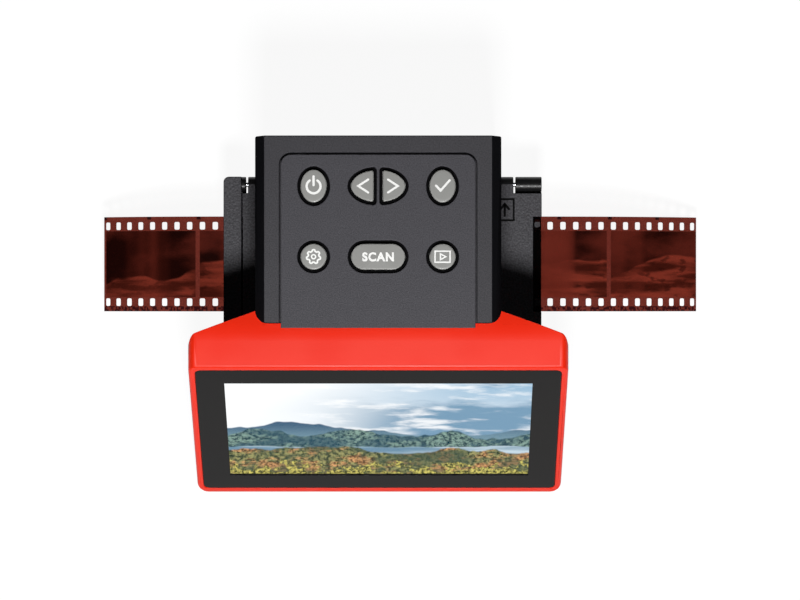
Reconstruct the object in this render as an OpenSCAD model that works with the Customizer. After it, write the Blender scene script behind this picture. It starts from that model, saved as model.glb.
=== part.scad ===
// Film negative scanner: a black body with a level key plate on top, a red front
// shell with a tilted five-inch screen, and a hinged film holder that runs through
// the body from side to side with a 35 mm strip of six frames in it.
// Origin: on the table, below the optical axis. X right, Y to the rear, Z up. Millimetres.

/* [Body] */
// Width of the black body at its sides
body_w = 87.6; // [84:0.2:92]
// Height of the top face above the table
body_top = 84; // [82:0.5:100]
// Distance from the optical axis back to the rear face
body_rear = 44.9; // [43:0.1:60]
// Distance from the optical axis forward to the front of the upper body
body_front = 21.6; // [20:0.1:22.5]
// Wall thickness of the black mouldings at the sides
body_wall = 2.8; // [2.4:0.1:3]

/* [Screen housing] */
// Width of the red shell
shell_w = 135.8; // [134:0.2:150]
// Angle of the screen above the table
screen_tilt = 55.5; // [54:0.5:58]
// Width of the cover glass
glass_w = 131; // [126:0.2:132]
// Height of the cover glass, along the slope
glass_h = 79.8; // [78:0.2:80.4]
// Width of the picture on the display
picture_w = 110.7; // [100:0.1:112]
// Height of the picture on the display
picture_h = 62.3; // [56:0.1:63]

/* [Keys] */
// Distance from the middle column of keys to the outer ones
key_column = 22.8; // [22:0.1:23.5]
// Distance between the two rows of keys
key_pitch = 25; // [22:0.1:26]
// How far a key goes down
key_travel = 0.6; // [0.2:0.1:0.6]

/* [Film] */
// Height of the film above the table
film_z = 26; // [24:0.5:26]
// Width of the strip
film_w = 35; // [34.8:0.05:35]
// Distance from one picture to the next
frame_pitch = 38; // [37.9:0.05:38.1]
// Distance from one perforation to the next
perforation_pitch = 4.75; // [4.74:0.005:4.75]
// Distance from the optical axis to the middle of the strip
film_shift = 8.5; // [7:0.5:10]

/* [Holder] */
// Left end of the film holder
holder_left = -57.2; // [-58:0.1:-56]
// Right end of the film holder
holder_right = 59.9; // [58:0.1:60]
// Depth of the film holder, front to rear
holder_d = 64.2; // [60:0.2:64.4]

/* [Hidden] */

$fn = 48;
eps = 0.01;
far = 200;

// Colours as the object shows them
black_moulding = [0.11, 0.11, 0.12];
grey_moulding = [0.27, 0.27, 0.28];
red_moulding = [0.92, 0.2, 0.15];
key_grey = [0.55, 0.55, 0.53];
board_green = [0.1, 0.35, 0.2];
steel = [0.72, 0.72, 0.74];
rubber_black = [0.05, 0.05, 0.05];
glass_black = [0.12, 0.12, 0.12];
film_brown = [0.42, 0.16, 0.1];
white_moulding = [0.92, 0.92, 0.9];
ribbon_amber = [0.75, 0.45, 0.12];

// Body
body_half = body_w / 2;
inner_half = body_half - body_wall;
rear_wall = 2.4;
hood_bevel_w = 3.4;
hood_bevel_h = 8;
hood_corner_r = 4.6;
body_corner_r = 0.6;
top_wall = 4.4;
deck_z = film_z - 3.8;
deck_t = 2.2;
slot_top = film_z + 4.9;
slot_half = holder_d / 2 + 0.4;
base_z = 1.2;
base_t = 1.8;
cover_gap = 0.15;

// Screen housing: the crease is the top front edge of the red shell
crease_y = -37.2;
crease_z = 74;
ridge_y = -24.3;
ridge_z = 74.6;
shoulder_y = -16.9;
shoulder_z = 73;
shell_half = shell_w / 2;
shell_wall = 2.2;
shell_bottom = 2.4;
crease_r = 1.2;
bottom_r = 1.5;
edge_r = 3.2;
ridge_r = 28;
shell_corner_r = 7;
glass_r = 2.2;
rim = 2.4;
slab_outer_x = 66.3;
slab_outer_y = -25.1;
glass_t = 1.1;
glass_sink = 0.15;
glass_gap = 0.1;
picture_drop = 8.5;
slab_centre = screen_depth(shoulder_y, shoulder_z);
slab_outer = screen_depth(slab_outer_y, ridge_z);
slab_slope = (slab_centre - slab_outer) / (slab_outer_x - body_half + 0.4);
join_gap = 0.15;
flange_t = 2;
flange_in = 8;
shell_len = glass_h + 2 * rim;
picture_y = -rim - picture_drop - picture_h / 2;

// Keys and their plate
plate_half = 34.45;
plate_gap = 0.4;
plate_t = 2.2;
plate_rear = 38.2;
plate_front = -23.2;
plate_corner = 4;
plate_lip_t = 1.4;
plate_lip_h = 7.5;
plate_z = body_top - plate_t;
key_row_rear = 27;
key_row_front = key_row_rear - key_pitch;
key_round_d = 9.15;
key_oval_d = [9.1, 11.6];
key_pair_d = [19.15, 11.4];
key_pair_gap = 3.4;
pair_corner_r = 0.6;
key_bar_d = [19.05, 9.15];
key_ring = 1.2;
key_ring_depth = 1;
key_clear = 0.15;
key_proud = 0.7;
key_flange = 1.1;
key_flange_t = 1.2;
key_board_z = body_top - 10;
board_t = 1.6;
switch_h = 3.0;
key_stem_gap = 0.1;

// Film holder
holder_rear = holder_d / 2;
holder_bottom = film_z - 3.5;
holder_top = film_z + 3.4;
part_z = film_z + 0.5;
lid_gap = 0.15;
channel_half = film_w / 2 + 0.15;
channel_floor = film_z - 0.15;
channel_roof = film_z + 0.35;
mouth_l = 18;
mouth_depth = 1.9;
bridge_w = 6.6;
gate_x = 18.5;
gate_y = 12.3;
hinge_r = 2.85;
hinge_y = holder_rear - hinge_r;
hinge_z = holder_top - hinge_r;
pin_r = 0.8;
pin_clear_base = 0.02;
pin_clear_lid = 0.05;
knuckle_left = -49;
knuckle_right = 50.3;
knuckle_gap = 0.8;
lid_left = holder_left + bridge_w + 0.4;
lid_step_x = 56.8;
lid_step_y = 17.3;
magnet_r = 2;
magnet_t = 1.2;
magnet_x = 34;
magnet_y = -27;

// Film strip: flat through the holder, then bending down to the ends
film_t = 0.14;
strip_l = 6 * frame_pitch - 1;
flat_left = -62;
flat_right = 63;
droop_angle = 35.5;
strip_left = film_shift - strip_l / 2;
strip_right = film_shift + strip_l / 2;
droop_left_r = (flat_left - strip_left) / (droop_angle * PI / 180);
droop_right_r = (strip_right - flat_right) / (droop_angle * PI / 180);
strip_arc_steps = 16;
perforation_l = 1.98;
perforation_w = 2.8;
strip_margin = 0.5;
perforation_y = film_w / 2 - 2.01 - perforation_w / 2;

// Camera and backlight
window_x = 20;
window_y = 14;
guide_t = 2.2;
guide_z = slot_top;
sensor_z = 68.2;
lens_bottom = 50;
screw_r = 1.1;
screw_head_r = 2.1;
hole_r = 1.15;
led_columns = 4;
led_rows = 3;

// Depth of a point of the Y-Z plane behind the face of the screen (negative inside)
function screen_depth(y, z) =
    -sin(screen_tilt) * (y - crease_y) + cos(screen_tilt) * (z - crease_z);

// Y at height z on the plane that lies at depth d behind the face of the screen
function screen_y(z, d) =
    crease_y + (cos(screen_tilt) * (z - crease_z) - d) / sin(screen_tilt);

// Points that round the corner b between a and c with radius r
function corner(a, b, c, r, n = 6) =
    let(u = (a - b) / norm(a - b),
        v = (c - b) / norm(c - b),
        half = acos(u * v) / 2,
        centre = b + (u + v) / norm(u + v) * r / sin(half),
        first = b + u * r / tan(half) - centre,
        last = b + v * r / tan(half) - centre,
        start = atan2(first[1], first[0]),
        turn = atan2(last[1], last[0]) - start,
        sweep = turn > 180 ? turn - 360 : turn < -180 ? turn + 360 : turn)
    [for (i = [0:n]) centre + r * [cos(start + sweep * i / n), sin(start + sweep * i / n)]];

// A closed outline with each corner rounded by its own radius; 0 leaves it sharp
function rounded(points, radii) =
    let(n = len(points))
    [for (i = [0:n - 1])
        each radii[i] == 0 ? [points[i]]
            : corner(points[(i + n - 1) % n], points[i], points[(i + 1) % n], radii[i])];

function box_outline(x0, x1, y0, y1) = [[x0, y0], [x1, y0], [x1, y1], [x0, y1]];

// Extrusions: a Y-Z outline along X, an X-Z outline along Y
module along_x(x0, x1) {
    translate([x0, 0, 0])
        rotate([90, 0, 90])
            linear_extrude(x1 - x0)
                children();
}

module along_y(y0, y1) {
    translate([0, y1, 0])
        rotate([90, 0, 0])
            linear_extrude(y1 - y0)
                children();
}

// Puts its children in the frame of the screen: X right, Y up the slope, Z out of the
// glass, with the origin in the middle of the top front edge of the red shell
module on_screen() {
    translate([0, crease_y, crease_z])
        rotate([screen_tilt, 0, 0])
            children();
}

module block(x, y, z) {
    translate([x[0], y[0], z[0]])
        cube([x[1] - x[0], y[1] - y[0], z[1] - z[0]]);
}

// A screw with a pan head, tip up when up is true; the origin is under its head
module screw(l, up = true) {
    head = 1.4;
    mirror([0, 0, up ? 0 : 1]) {
        cylinder(r = screw_r, h = l);
        difference() {
            translate([0, 0, -head])
                cylinder(r = screw_head_r, h = head);
            for (a = [0, 90])
                rotate(a)
                    translate([-1.2, -0.25, -head - eps])
                        cube([2.4, 0.5, 0.7]);
        }
    }
}

module four(x, y0, y1) {
    for (side = [-1, 1])
        for (y = [y0, y1])
            translate([side * x, y, 0])
                children();
}

// --- Black body -------------------------------------------------------------

housing_x = 37.5;
housing_y_rear = 38.2;
housing_y_front = -38;
mount_x = 37;
mount_y_top = -8;
mount_y_low = -44;
ledge_z = guide_z + guide_t + 0.05;
guide_screw_x = 37.2;
guide_screw_y = 29;

// The body's outline seen from above, with its rear corners rounded
module body_plan() {
    linear_extrude(far)
        polygon(rounded(box_outline(-body_half, body_half, -far, body_rear),
            [0, 0, body_corner_r, body_corner_r]));
}

module hood_outer() {
    step_z = ridge_z + 0.3;
    lower = [[body_rear, deck_z], [body_rear, step_z + eps],
        [screen_y(step_z + eps, slab_centre - join_gap), step_z + eps],
        [screen_y(deck_z, slab_centre - join_gap), deck_z]];
    intersection() {
        along_x(-body_half, body_half)
            polygon(lower);
        body_plan();
    }
    intersection() {
        translate([0, 0, step_z])
            linear_extrude(body_top - step_z)
                polygon(rounded(box_outline(-body_half, body_half, -body_front, body_rear),
                    [hood_corner_r, hood_corner_r, body_corner_r, body_corner_r]));
        along_y(-far, far)
            polygon([[-body_half, 0], [body_half, 0], [body_half, body_top - hood_bevel_h],
                [body_half - hood_bevel_w, body_top], [hood_bevel_w - body_half, body_top],
                [-body_half, body_top - hood_bevel_h]]);
    }
}

module hood_inner() {
    step_z = ridge_z + 0.3;
    front = slab_centre - join_gap - flange_t;
    inner = [[body_rear - rear_wall, deck_z - 1], [body_rear - rear_wall, body_top - top_wall],
        [-body_front + 2.2, body_top - top_wall], [-body_front + 2.2, step_z + 2.2],
        [screen_y(step_z + 2.2, front), step_z + 2.2], [screen_y(deck_z - 1, front), deck_z - 1]];
    along_x(-inner_half, inner_half)
        polygon(inner);
}

module hood() {
    color(black_moulding)
        difference() {
            union() {
                difference() {
                    hood_outer();
                    hood_inner();
                }
                // Posts that take the housing screws
                for (side = [-1, 1]) {
                    translate([side * housing_x, housing_y_rear, deck_z])
                        cylinder(r = 3.6, h = 24);
                    translate([side * housing_x, housing_y_front, deck_z])
                        cylinder(r = 3.6, h = 8);
                    // Ledge that the guide plate is screwed up against
                    block(side > 0 ? [guide_screw_x - 3, inner_half + 1] : [-inner_half - 1, 3 - guide_screw_x],
                        [-33, 34], [ledge_z, ledge_z + 5]);
                }
                // Posts that carry the key board
                four(36.5, -9, 33.5)
                    translate([0, 0, key_board_z + board_t + 0.05])
                        cylinder(r = 3, h = body_top - top_wall - key_board_z - board_t);
            }
            // Recess for the key plate, open to the front, and the hole below it
            translate([0, 0, plate_z])
                linear_extrude(plate_t + 1)
                    polygon(rounded(
                        box_outline(-plate_half - plate_gap, plate_half + plate_gap, -far, plate_rear + plate_gap),
                        [0, 0, plate_corner, plate_corner]));
            block([-33, 33], [-18.4, 35.2], [body_top - top_wall - 1, body_top]);
            // Holder slot through both side walls
            block([-far, far], [-slot_half, slot_half], [deck_z - 1, slot_top]);
            // Cable way to the screen, and the holes for its four screws
            on_screen() {
                block([flange_in - inner_half, inner_half - flange_in], [-58, 4], [slab_centre - 8, slab_centre]);
                four(mount_x, mount_y_top, mount_y_low)
                    translate([0, 0, slab_centre - 6])
                        cylinder(r = hole_r, h = 8);
            }
            for (side = [-1, 1]) {
                translate([side * housing_x, housing_y_rear, deck_z - eps])
                    cylinder(r = hole_r, h = 18);
                translate([side * housing_x, housing_y_front, deck_z - eps])
                    cylinder(r = hole_r, h = 6.5);
            }
            four(guide_screw_x, -guide_screw_y, guide_screw_y)
                translate([0, 0, ledge_z - eps])
                    cylinder(r = hole_r, h = 4);
            four(36.5, -9, 33.5)
                translate([0, 0, key_board_z + board_t])
                    cylinder(r = hole_r, h = 3.2);
        }
}

light_box_x = 23;
light_box_y = 16;
light_box_z = 8.6;
light_wall = 1.6;
port_board_z = 5.2;
port_board_x = [-34, 37];
port_board_y = [17.6, 42.2];
port_screw_x = 31;
usb_x = -24;
video_x = -6;
card_x = 20;
usb_size = [8.94, 7.35, 3.26];
video_size = [11.2, 7.5, 3.3];
card_size = [27, 18.6, 3.2];

module case_profile(wall, z0, z1) {
    depth = slab_centre - join_gap - wall;
    polygon([[body_rear - (wall == 0 ? 0 : rear_wall), z0], [body_rear - (wall == 0 ? 0 : rear_wall), z1],
        [screen_y(z1, depth), z1], [screen_y(z0, depth), z0]]);
}

module lower_case() {
    color(black_moulding)
        difference() {
            union() {
                difference() {
                    intersection() {
                        along_x(-body_half, body_half)
                            case_profile(0, base_z, deck_z);
                        body_plan();
                    }
                    along_x(-inner_half, inner_half)
                        case_profile(2, base_z - 1, deck_z - deck_t);
                }
                // Sleeves round the four housing screws
                four(housing_x, housing_y_front, housing_y_rear)
                    translate([0, 0, base_z + base_t + 0.1])
                        cylinder(r = 3.6, h = deck_z - base_z - base_t - 0.1);
            }
            // Light window in the deck, with a rebate for the diffuser
            block([-window_x, window_x], [-window_y, window_y], [0, deck_z + 1]);
            block([-window_x - 1.6, window_x + 1.6], [-window_y - 1.6, window_y + 1.6],
                [deck_z - 1.3, deck_z + 1]);
            four(housing_x, housing_y_front, housing_y_rear)
                translate([0, 0, 0])
                    cylinder(r = hole_r, h = deck_z + 1);
            for (side = [-1, 1])
                translate([side * light_screw_x, 0, deck_z - deck_t - eps])
                    cylinder(r = hole_r, h = deck_t - 0.4);
            // Openings for the three sockets in the rear wall
            translate([usb_x, body_rear - rear_wall - 1, port_board_z + board_t + usb_size[2] / 2])
                socket_cut(usb_size[0] + 0.5, usb_size[2] + 0.5, 1.8, rear_wall + 2);
            translate([video_x, body_rear - rear_wall - 1, port_board_z + board_t + video_size[2] / 2])
                socket_cut(video_size[0] + 0.5, video_size[2] + 0.5, 0.6, rear_wall + 2);
            translate([card_x, body_rear - rear_wall - 1, port_board_z + board_t + card_size[2] / 2])
                socket_cut(card_size[0] + 0.5, card_size[2] + 0.5, 0.3, rear_wall + 2);
        }
}

// A slot of width w and height h with corner radius r, cut from Y = 0 to the rear
module socket_cut(w, h, r, depth) {
    along_y(0, depth)
        polygon(rounded(box_outline(-w / 2, w / 2, -h / 2, h / 2), [r, r, r, r]));
}

base_cover_y = [-57.8, body_rear - rear_wall - cover_gap];
rear_foot = [31, 33];
front_foot = [53, -78.6];
foot_r = 5;

module base_cover() {
    half = inner_half - cover_gap;
    color(black_moulding)
        difference() {
            union() {
                translate([0, 0, base_z])
                    linear_extrude(base_t)
                        polygon(rounded(box_outline(-half, half, base_cover_y[0], base_cover_y[1]), [2, 2, 1, 1]));
                // Posts under the port board
                for (x = [-port_screw_x, port_screw_x])
                    translate([x, 22, base_z + base_t - eps])
                        cylinder(r = 2.6, h = port_board_z - base_z - base_t);
            }
            // Seats for the rear feet and the housing screws
            for (side = [-1, 1])
                translate([side * rear_foot[0], rear_foot[1], base_z - 1])
                    cylinder(r = foot_r + 0.1, h = 1.8);
            four(housing_x, housing_y_front, housing_y_rear) {
                translate([0, 0, base_z - 1])
                    cylinder(r = hole_r, h = base_t + 2);
                translate([0, 0, base_z - 1])
                    cylinder(r = screw_head_r + 0.2, h = 2);
            }
            for (x = [-port_screw_x, port_screw_x])
                translate([x, 22, base_z + 0.8])
                    cylinder(r = hole_r, h = 6);
            // Air slots under the backlight
            for (i = [-4:4])
                translate([i * 5, -30, base_z - 1])
                    linear_extrude(base_t + 2)
                        polygon(rounded(box_outline(-1, 1, -7, 7), [0.9, 0.9, 0.9, 0.9]));
        }
}

module rubber_feet() {
    color(rubber_black) {
        for (side = [-1, 1]) {
            translate([side * rear_foot[0], rear_foot[1], 0])
                cylinder(r = foot_r, h = base_z + 0.75);
            translate([side * front_foot[0], front_foot[1], 0])
                linear_extrude(shell_bottom + 0.75)
                    polygon(rounded(box_outline(-9, 9, -2.5, 2.5), [2.4, 2.4, 2.4, 2.4]));
        }
    }
}

// --- Screen housing ---------------------------------------------------------

shell_post_x = 63.4;
shell_post_y = [-9, -74];
shell_post_r = 2.1;
lcd_size = [120.7, 75.8, 2.9];
lcd_z = -shell_wall - 0.25 - lcd_size[2];
bracket_t = 0.8;
bracket_z = lcd_z - 0.35 - bracket_t;
screen_board_z = bracket_z - 4;
screen_board = [76, 52];
cover_t = 2;
cover_in = 0.5;
cover_seat_z = slab_depth(shell_post_x) + cover_in + 0.7;
shell_post_z = slab_depth(shell_post_x) + cover_in + cover_t + 1.2;

// Depth of the rear of the red shell at distance x from the middle
function slab_depth(x) =
    x < body_half - 0.4 ? slab_centre : slab_centre + (x - body_half + 0.4) * -slab_slope;

module slab_section(inset) {
    half = shell_half - inset;
    front = -inset;
    outer = inset > 0 ? [[half, slab_depth(half) - 12], [-half, slab_depth(half) - 12]]
        : [[half, slab_depth(half)], [body_half - 0.4, slab_centre],
            [0.4 - body_half, slab_centre], [-half, slab_depth(half)]];
    radii = inset > 0 ? [0.6, 0, 0, 0.6] : [1, 3, 0, 0, 3, 1];
    polygon(rounded(concat([[half, front]], outer, [[-half, front]]), radii));
}

module shell_outer() {
    bottom_y = screen_y(shell_bottom, 0);
    profile = [[crease_y, crease_z], [bottom_y, shell_bottom], [-8, shell_bottom],
        [-8, shoulder_z - (shoulder_y + 8) * (ridge_z - shoulder_z) / (ridge_y - shoulder_y)],
        [ridge_y, ridge_z]];
    intersection() {
        on_screen()
            rotate([90, 0, 0])
                linear_extrude(2 * far, center = true)
                    slab_section(0);
        along_x(-shell_half, shell_half)
            polygon(rounded(profile, [crease_r, bottom_r, 0, 0, ridge_r]));
        // Side edges, rounded along the top
        translate([0, crease_y, crease_z])
            rotate([atan2(ridge_z - crease_z, ridge_y - crease_y), 0, 0])
                along_y(-far, far)
                    polygon(rounded(box_outline(-shell_half, shell_half, -far, 0), [0, 0, edge_r, edge_r]));
        on_screen()
            translate([0, 0, -60])
                linear_extrude(120)
                    polygon(rounded(box_outline(-shell_half, shell_half, -shell_len - 1.4, 60),
                        [shell_corner_r, shell_corner_r, 0, 0]));
    }
}

module shell_inner(gap = 0) {
    inset = shell_wall + gap;
    profile = [[-far / 2, shell_bottom + inset], [-2, shell_bottom + inset],
        [-2, ridge_z - 7 - gap], [ridge_y, crease_z - inset], [-far / 2, crease_z - inset]];
    intersection() {
        on_screen()
            rotate([90, 0, 0])
                linear_extrude(2 * far, center = true)
                    slab_section(inset);
        along_x(gap - shell_half, shell_half - gap)
            polygon(profile);
    }
}

module front_shell() {
    color(red_moulding)
        difference() {
            union() {
                difference() {
                    shell_outer();
                    shell_inner();
                }
                on_screen()
                    four(shell_post_x, shell_post_y[0], shell_post_y[1])
                        translate([0, 0, shell_post_z])
                            cylinder(r = shell_post_r, h = 0.9 - shell_wall - shell_post_z);
            }
            on_screen() {
                // Seat for the cover glass, and the window behind it
                translate([0, 0, -glass_t - glass_sink])
                    linear_extrude(5)
                        polygon(rounded(box_outline(-glass_w / 2 - glass_gap, glass_w / 2 + glass_gap,
                            -rim - glass_h - glass_gap, glass_gap - rim), [for (i = [0:3]) glass_r + glass_gap]));
                block([-picture_w / 2 - 1.5, picture_w / 2 + 1.5],
                    [picture_y - picture_h / 2 - 1.5, picture_y + picture_h / 2 + 1.5], [-5, 1]);
                four(shell_post_x, shell_post_y[0], shell_post_y[1])
                    translate([0, 0, slab_depth(shell_post_x)])
                        cylinder(r = 0.85, h = 7.5);
            }
            // Seats for the front feet
            for (side = [-1, 1])
                translate([side * front_foot[0], front_foot[1], 0])
                    linear_extrude(shell_bottom + 0.8)
                        polygon(rounded(box_outline(-9.1, 9.1, -2.6, 2.6), [2.4, 2.4, 2.4, 2.4]));
        }
}

module screen_glass() {
    color(glass_black)
        on_screen()
            translate([0, 0, -glass_t - glass_sink + 0.02])
                linear_extrude(glass_t)
                    polygon(rounded(box_outline(-glass_w / 2, glass_w / 2, -rim - glass_h, -rim),
                        [for (i = [0:3]) glass_r]));
}

module lcd_panel() {
    color(steel)
        on_screen()
            translate([-lcd_size[0] / 2, picture_y - lcd_size[1] / 2, lcd_z])
                cube(lcd_size);
}

module display_bracket() {
    color(steel)
        on_screen()
            difference() {
                union() {
                    block([-61, 61], [-79, -5], [bracket_z, bracket_z + bracket_t]);
                    four(34, -18, -62)
                        translate([0, 0, screen_board_z + board_t + 0.05])
                            cylinder(r = 2.4, h = bracket_z - screen_board_z - board_t);
                }
                block([-24, 24], [-58, -24], [bracket_z - 1, bracket_z + 2]);
                four(34, -18, -62)
                    translate([0, 0, screen_board_z + board_t])
                        cylinder(r = 0.85, h = 5);
            }
}

module main_board() {
    color(board_green)
        on_screen() {
            difference() {
                block([-screen_board[0] / 2, screen_board[0] / 2], [-66, -66 + screen_board[1]],
                    [screen_board_z, screen_board_z + board_t]);
                four(34, -18, -62)
                    translate([0, 0, screen_board_z - 1])
                        cylinder(r = 1.1, h = 4);
            }
            // Processor, memory and sockets on the rear of the board
            block([-9, 9], [-50, -32], [screen_board_z - 1.4, screen_board_z + eps]);
            block([14, 26], [-47, -35], [screen_board_z - 1.1, screen_board_z + eps]);
            block([-12, 12], [-20, -16], [screen_board_z - 2, screen_board_z + eps]);
            block([-28, -18], [-46, -38], [screen_board_z - 1.2, screen_board_z + eps]);
        }
}

module display_back_cover() {
    color(black_moulding)
        difference() {
            intersection() {
                shell_inner(cover_gap);
                on_screen()
                    rotate([90, 0, 0])
                        linear_extrude(2 * far, center = true)
                            back_band();
            }
            on_screen() {
                block([-10.5, 10.5], [-52, -14], [slab_centre - 4, slab_centre + 6]);
                four(mount_x, mount_y_top, mount_y_low)
                    translate([0, 0, slab_centre - 1])
                        cylinder(r = 0.9, h = 4.5);
                four(shell_post_x, shell_post_y[0], shell_post_y[1]) {
                    translate([0, 0, slab_depth(shell_post_x) - 3])
                        cylinder(r = hole_r, h = 8);
                    translate([0, 0, cover_seat_z - 4])
                        cylinder(r = 1.75, h = 4);
                }
            }
        }
}

// The rear cover in section: it follows the rear of the shell, set in from its edge
module back_band() {
    knee = body_half - 0.4;
    inner = slab_centre + cover_in + cover_t;
    outer = slab_centre + cover_in;
    polygon([[-far, slab_depth(far) + cover_in], [-knee, outer], [knee, outer],
        [far, slab_depth(far) + cover_in], [far, slab_depth(far) + cover_in + cover_t],
        [knee, inner], [-knee, inner], [-far, slab_depth(far) + cover_in + cover_t]]);
}

module display_cover_screws() {
    color(steel)
        on_screen()
            four(shell_post_x, shell_post_y[0], shell_post_y[1])
                translate([0, 0, cover_seat_z - 0.02])
                    scale(0.72)
                        screw(7);
}

module display_mount_screws() {
    color(steel)
        on_screen()
            four(mount_x, mount_y_top, mount_y_low)
                translate([0, 0, slab_centre - join_gap - flange_t - 0.05])
                    scale(0.78)
                        screw(6);
}

// --- Keys -------------------------------------------------------------------

// The part of an oval of size d beyond distance x0 from its middle, with rounded corners
function oval_part(d, grow, x0) =
    let(a = d[0] / 2 + grow, b = d[1] / 2 + grow, cut = x0 - grow, r = pair_corner_r + 0.6 * grow,
        corner_y = b * sqrt(1 - cut * cut / a / a),
        bow = [for (i = [-11:11]) if (a * cos(i * 7.5) > cut + 2 * r) [a * cos(i * 7.5), b * sin(i * 7.5)]])
    rounded(concat([[cut, -corner_y]], bow, [[cut, corner_y]]),
        concat([r], [for (p = bow) 0], [r]));

function oval_points(d, grow) =
    [for (i = [0:47]) [(d[0] / 2 + grow) * cos(i * 7.5), (d[1] / 2 + grow) * sin(i * 7.5)]];

module oval(d, grow) {
    polygon(oval_points(d, grow));
}

module bar_outline(d, grow) {
    r = d[1] / 2;
    polygon(rounded(box_outline(-d[0] / 2 - grow, d[0] / 2 + grow, -r - grow, r + grow),
        [for (i = [0:3]) r + grow - eps]));
}

// The outline of each key, grown by the given width
module key_outline(name, grow) {
    if (name == "power" || name == "ok")
        oval(key_oval_d, grow);
    if (name == "left")
        polygon([for (p = oval_part(key_pair_d, grow, key_pair_gap / 2)) [-p[0], p[1]]]);
    if (name == "right")
        polygon(oval_part(key_pair_d, grow, key_pair_gap / 2));
    if (name == "settings" || name == "playback")
        circle(r = key_round_d / 2 + grow);
    if (name == "capture")
        bar_outline(key_bar_d, grow);
}

KEYS = [["power", -key_column, key_row_rear], ["left", 0, key_row_rear], ["right", 0, key_row_rear],
    ["ok", key_column, key_row_rear], ["settings", -key_column, key_row_front],
    ["capture", 0, key_row_front], ["playback", key_column, key_row_front]];

// Where the switch below each key stands, from the middle of the key
function switch_x(name) = name == "left" ? -5.6 : name == "right" ? 5.6 : 0;

module key(index) {
    name = KEYS[index][0];
    top = body_top + key_proud;
    flange_z = plate_z - 0.05 - key_flange_t;
    stem_z = key_board_z + board_t + switch_h + key_travel + key_stem_gap;
    color(key_grey)
        translate([KEYS[index][1], KEYS[index][2], 0]) {
            translate([0, 0, flange_z])
                linear_extrude(top - flange_z)
                    key_outline(name, 0);
            translate([0, 0, flange_z])
                linear_extrude(key_flange_t)
                    intersection() {
                        key_outline(name, key_flange);
                        translate([name == "right" ? 0.3 : -far, -far / 2])
                            square([name == "left" ? far - 0.3 : 2 * far, far]);
                    }
            translate([switch_x(name), 0, stem_z])
                cylinder(r = 1.6, h = flange_z - stem_z + eps);
        }
}

module key_power() { key(0); }
module key_left() { key(1); }
module key_right() { key(2); }
module key_ok() { key(3); }
module key_settings() { key(4); }
module key_capture() { key(5); }
module key_playback() { key(6); }

module control_plate() {
    outline = rounded(box_outline(-plate_half, plate_half, plate_front, plate_rear),
        [0, 0, plate_corner - plate_gap, plate_corner - plate_gap]);
    color(grey_moulding)
        difference() {
            union() {
                translate([0, 0, plate_z + 0.02])
                    linear_extrude(plate_t - 0.02)
                        polygon(outline);
                block([-plate_half, plate_half], [plate_front, plate_front + plate_lip_t],
                    [body_top - plate_lip_h, body_top - 1]);
            }
            for (k = KEYS)
                translate([k[1], k[2], 0]) {
                    translate([0, 0, body_top - key_ring_depth])
                        linear_extrude(key_ring_depth + 1)
                            key_outline(k[0], key_ring);
                    translate([0, 0, plate_z - 1])
                        linear_extrude(plate_t + 2)
                            key_outline(k[0], key_clear);
                }
        }
}

module key_board() {
    color(board_green)
        difference() {
            block([-40, 40], [-11.6, 37.4], [key_board_z, key_board_z + board_t]);
            four(36.5, -9, 33.5)
                translate([0, 0, key_board_z - 1])
                    cylinder(r = hole_r, h = 4);
        }
}

module key_switches() {
    z = key_board_z + board_t + 0.02;
    color(steel)
        for (k = KEYS)
            translate([k[1] + switch_x(k[0]), k[2], z]) {
                translate([-2.6, -2.6, 0])
                    cube([5.2, 5.2, switch_h - 1]);
                cylinder(r = 1.4, h = switch_h - 0.02);
            }
}

module key_board_screws() {
    color(steel)
        four(36.5, -9, 33.5)
            translate([0, 0, key_board_z - 0.02])
                screw(4.2);
}

// --- Camera -----------------------------------------------------------------

module guide_plate() {
    color(black_moulding)
        difference() {
            block([-40.8, 40.8], [-33, 33.6], [guide_z + 0.05, guide_z + guide_t]);
            block([-window_x, window_x], [-window_y, window_y], [guide_z - 1, guide_z + guide_t + 1]);
            four(guide_screw_x, -guide_screw_y, guide_screw_y)
                translate([0, 0, guide_z - 1])
                    cylinder(r = hole_r, h = 5);
            four(guide_screw_x, -guide_screw_y, guide_screw_y)
                translate([0, 0, guide_z - 1])
                    cylinder(r = screw_head_r + 0.2, h = 2);
            four(camera_post_x, camera_post_y[0], camera_post_y[1])
                translate([0, 0, guide_z - 1])
                    cylinder(r = hole_r, h = 5);
        }
}

camera_post_x = 26;
camera_post_y = [-10.8, 26];
camera_post_r = 2.5;

module guide_plate_screws() {
    color(steel)
        four(guide_screw_x, -guide_screw_y, guide_screw_y)
            translate([0, 0, guide_z + 0.98])
                scale(0.7)
                    screw(5);
}

module light_shroud() {
    z0 = guide_z + guide_t + 0.02;
    color(black_moulding)
        difference() {
            translate([0, 0, z0])
                shroud_cone(window_x + 2.4, window_y + 2.4, 9.6, lens_bottom - z0 - 1);
            translate([0, 0, z0])
                shroud_cone(window_x + 0.9, window_y + 0.9, 8.2, lens_bottom - z0 - 1, eps);
        }
}

module shroud_cone(x, y, top, h, over = 0) {
    hull() {
        translate([0, 0, -over])
            linear_extrude(0.2)
                square([2 * x, 2 * y], center = true);
        translate([0, 0, h - 0.2 + over])
            linear_extrude(0.2)
                square(2 * top, center = true);
    }
}

module lens_barrel() {
    color(black_moulding)
        translate([0, 0, lens_bottom])
            rotate_extrude()
                polygon([[3.2, 0], [9, 0], [9, 7], [7.2, 7], [7.2, 16], [5.2, 16], [5.2, 9.6],
                    [6.2, 9.6], [6.2, 3], [3.2, 1.6]]);
}

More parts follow.
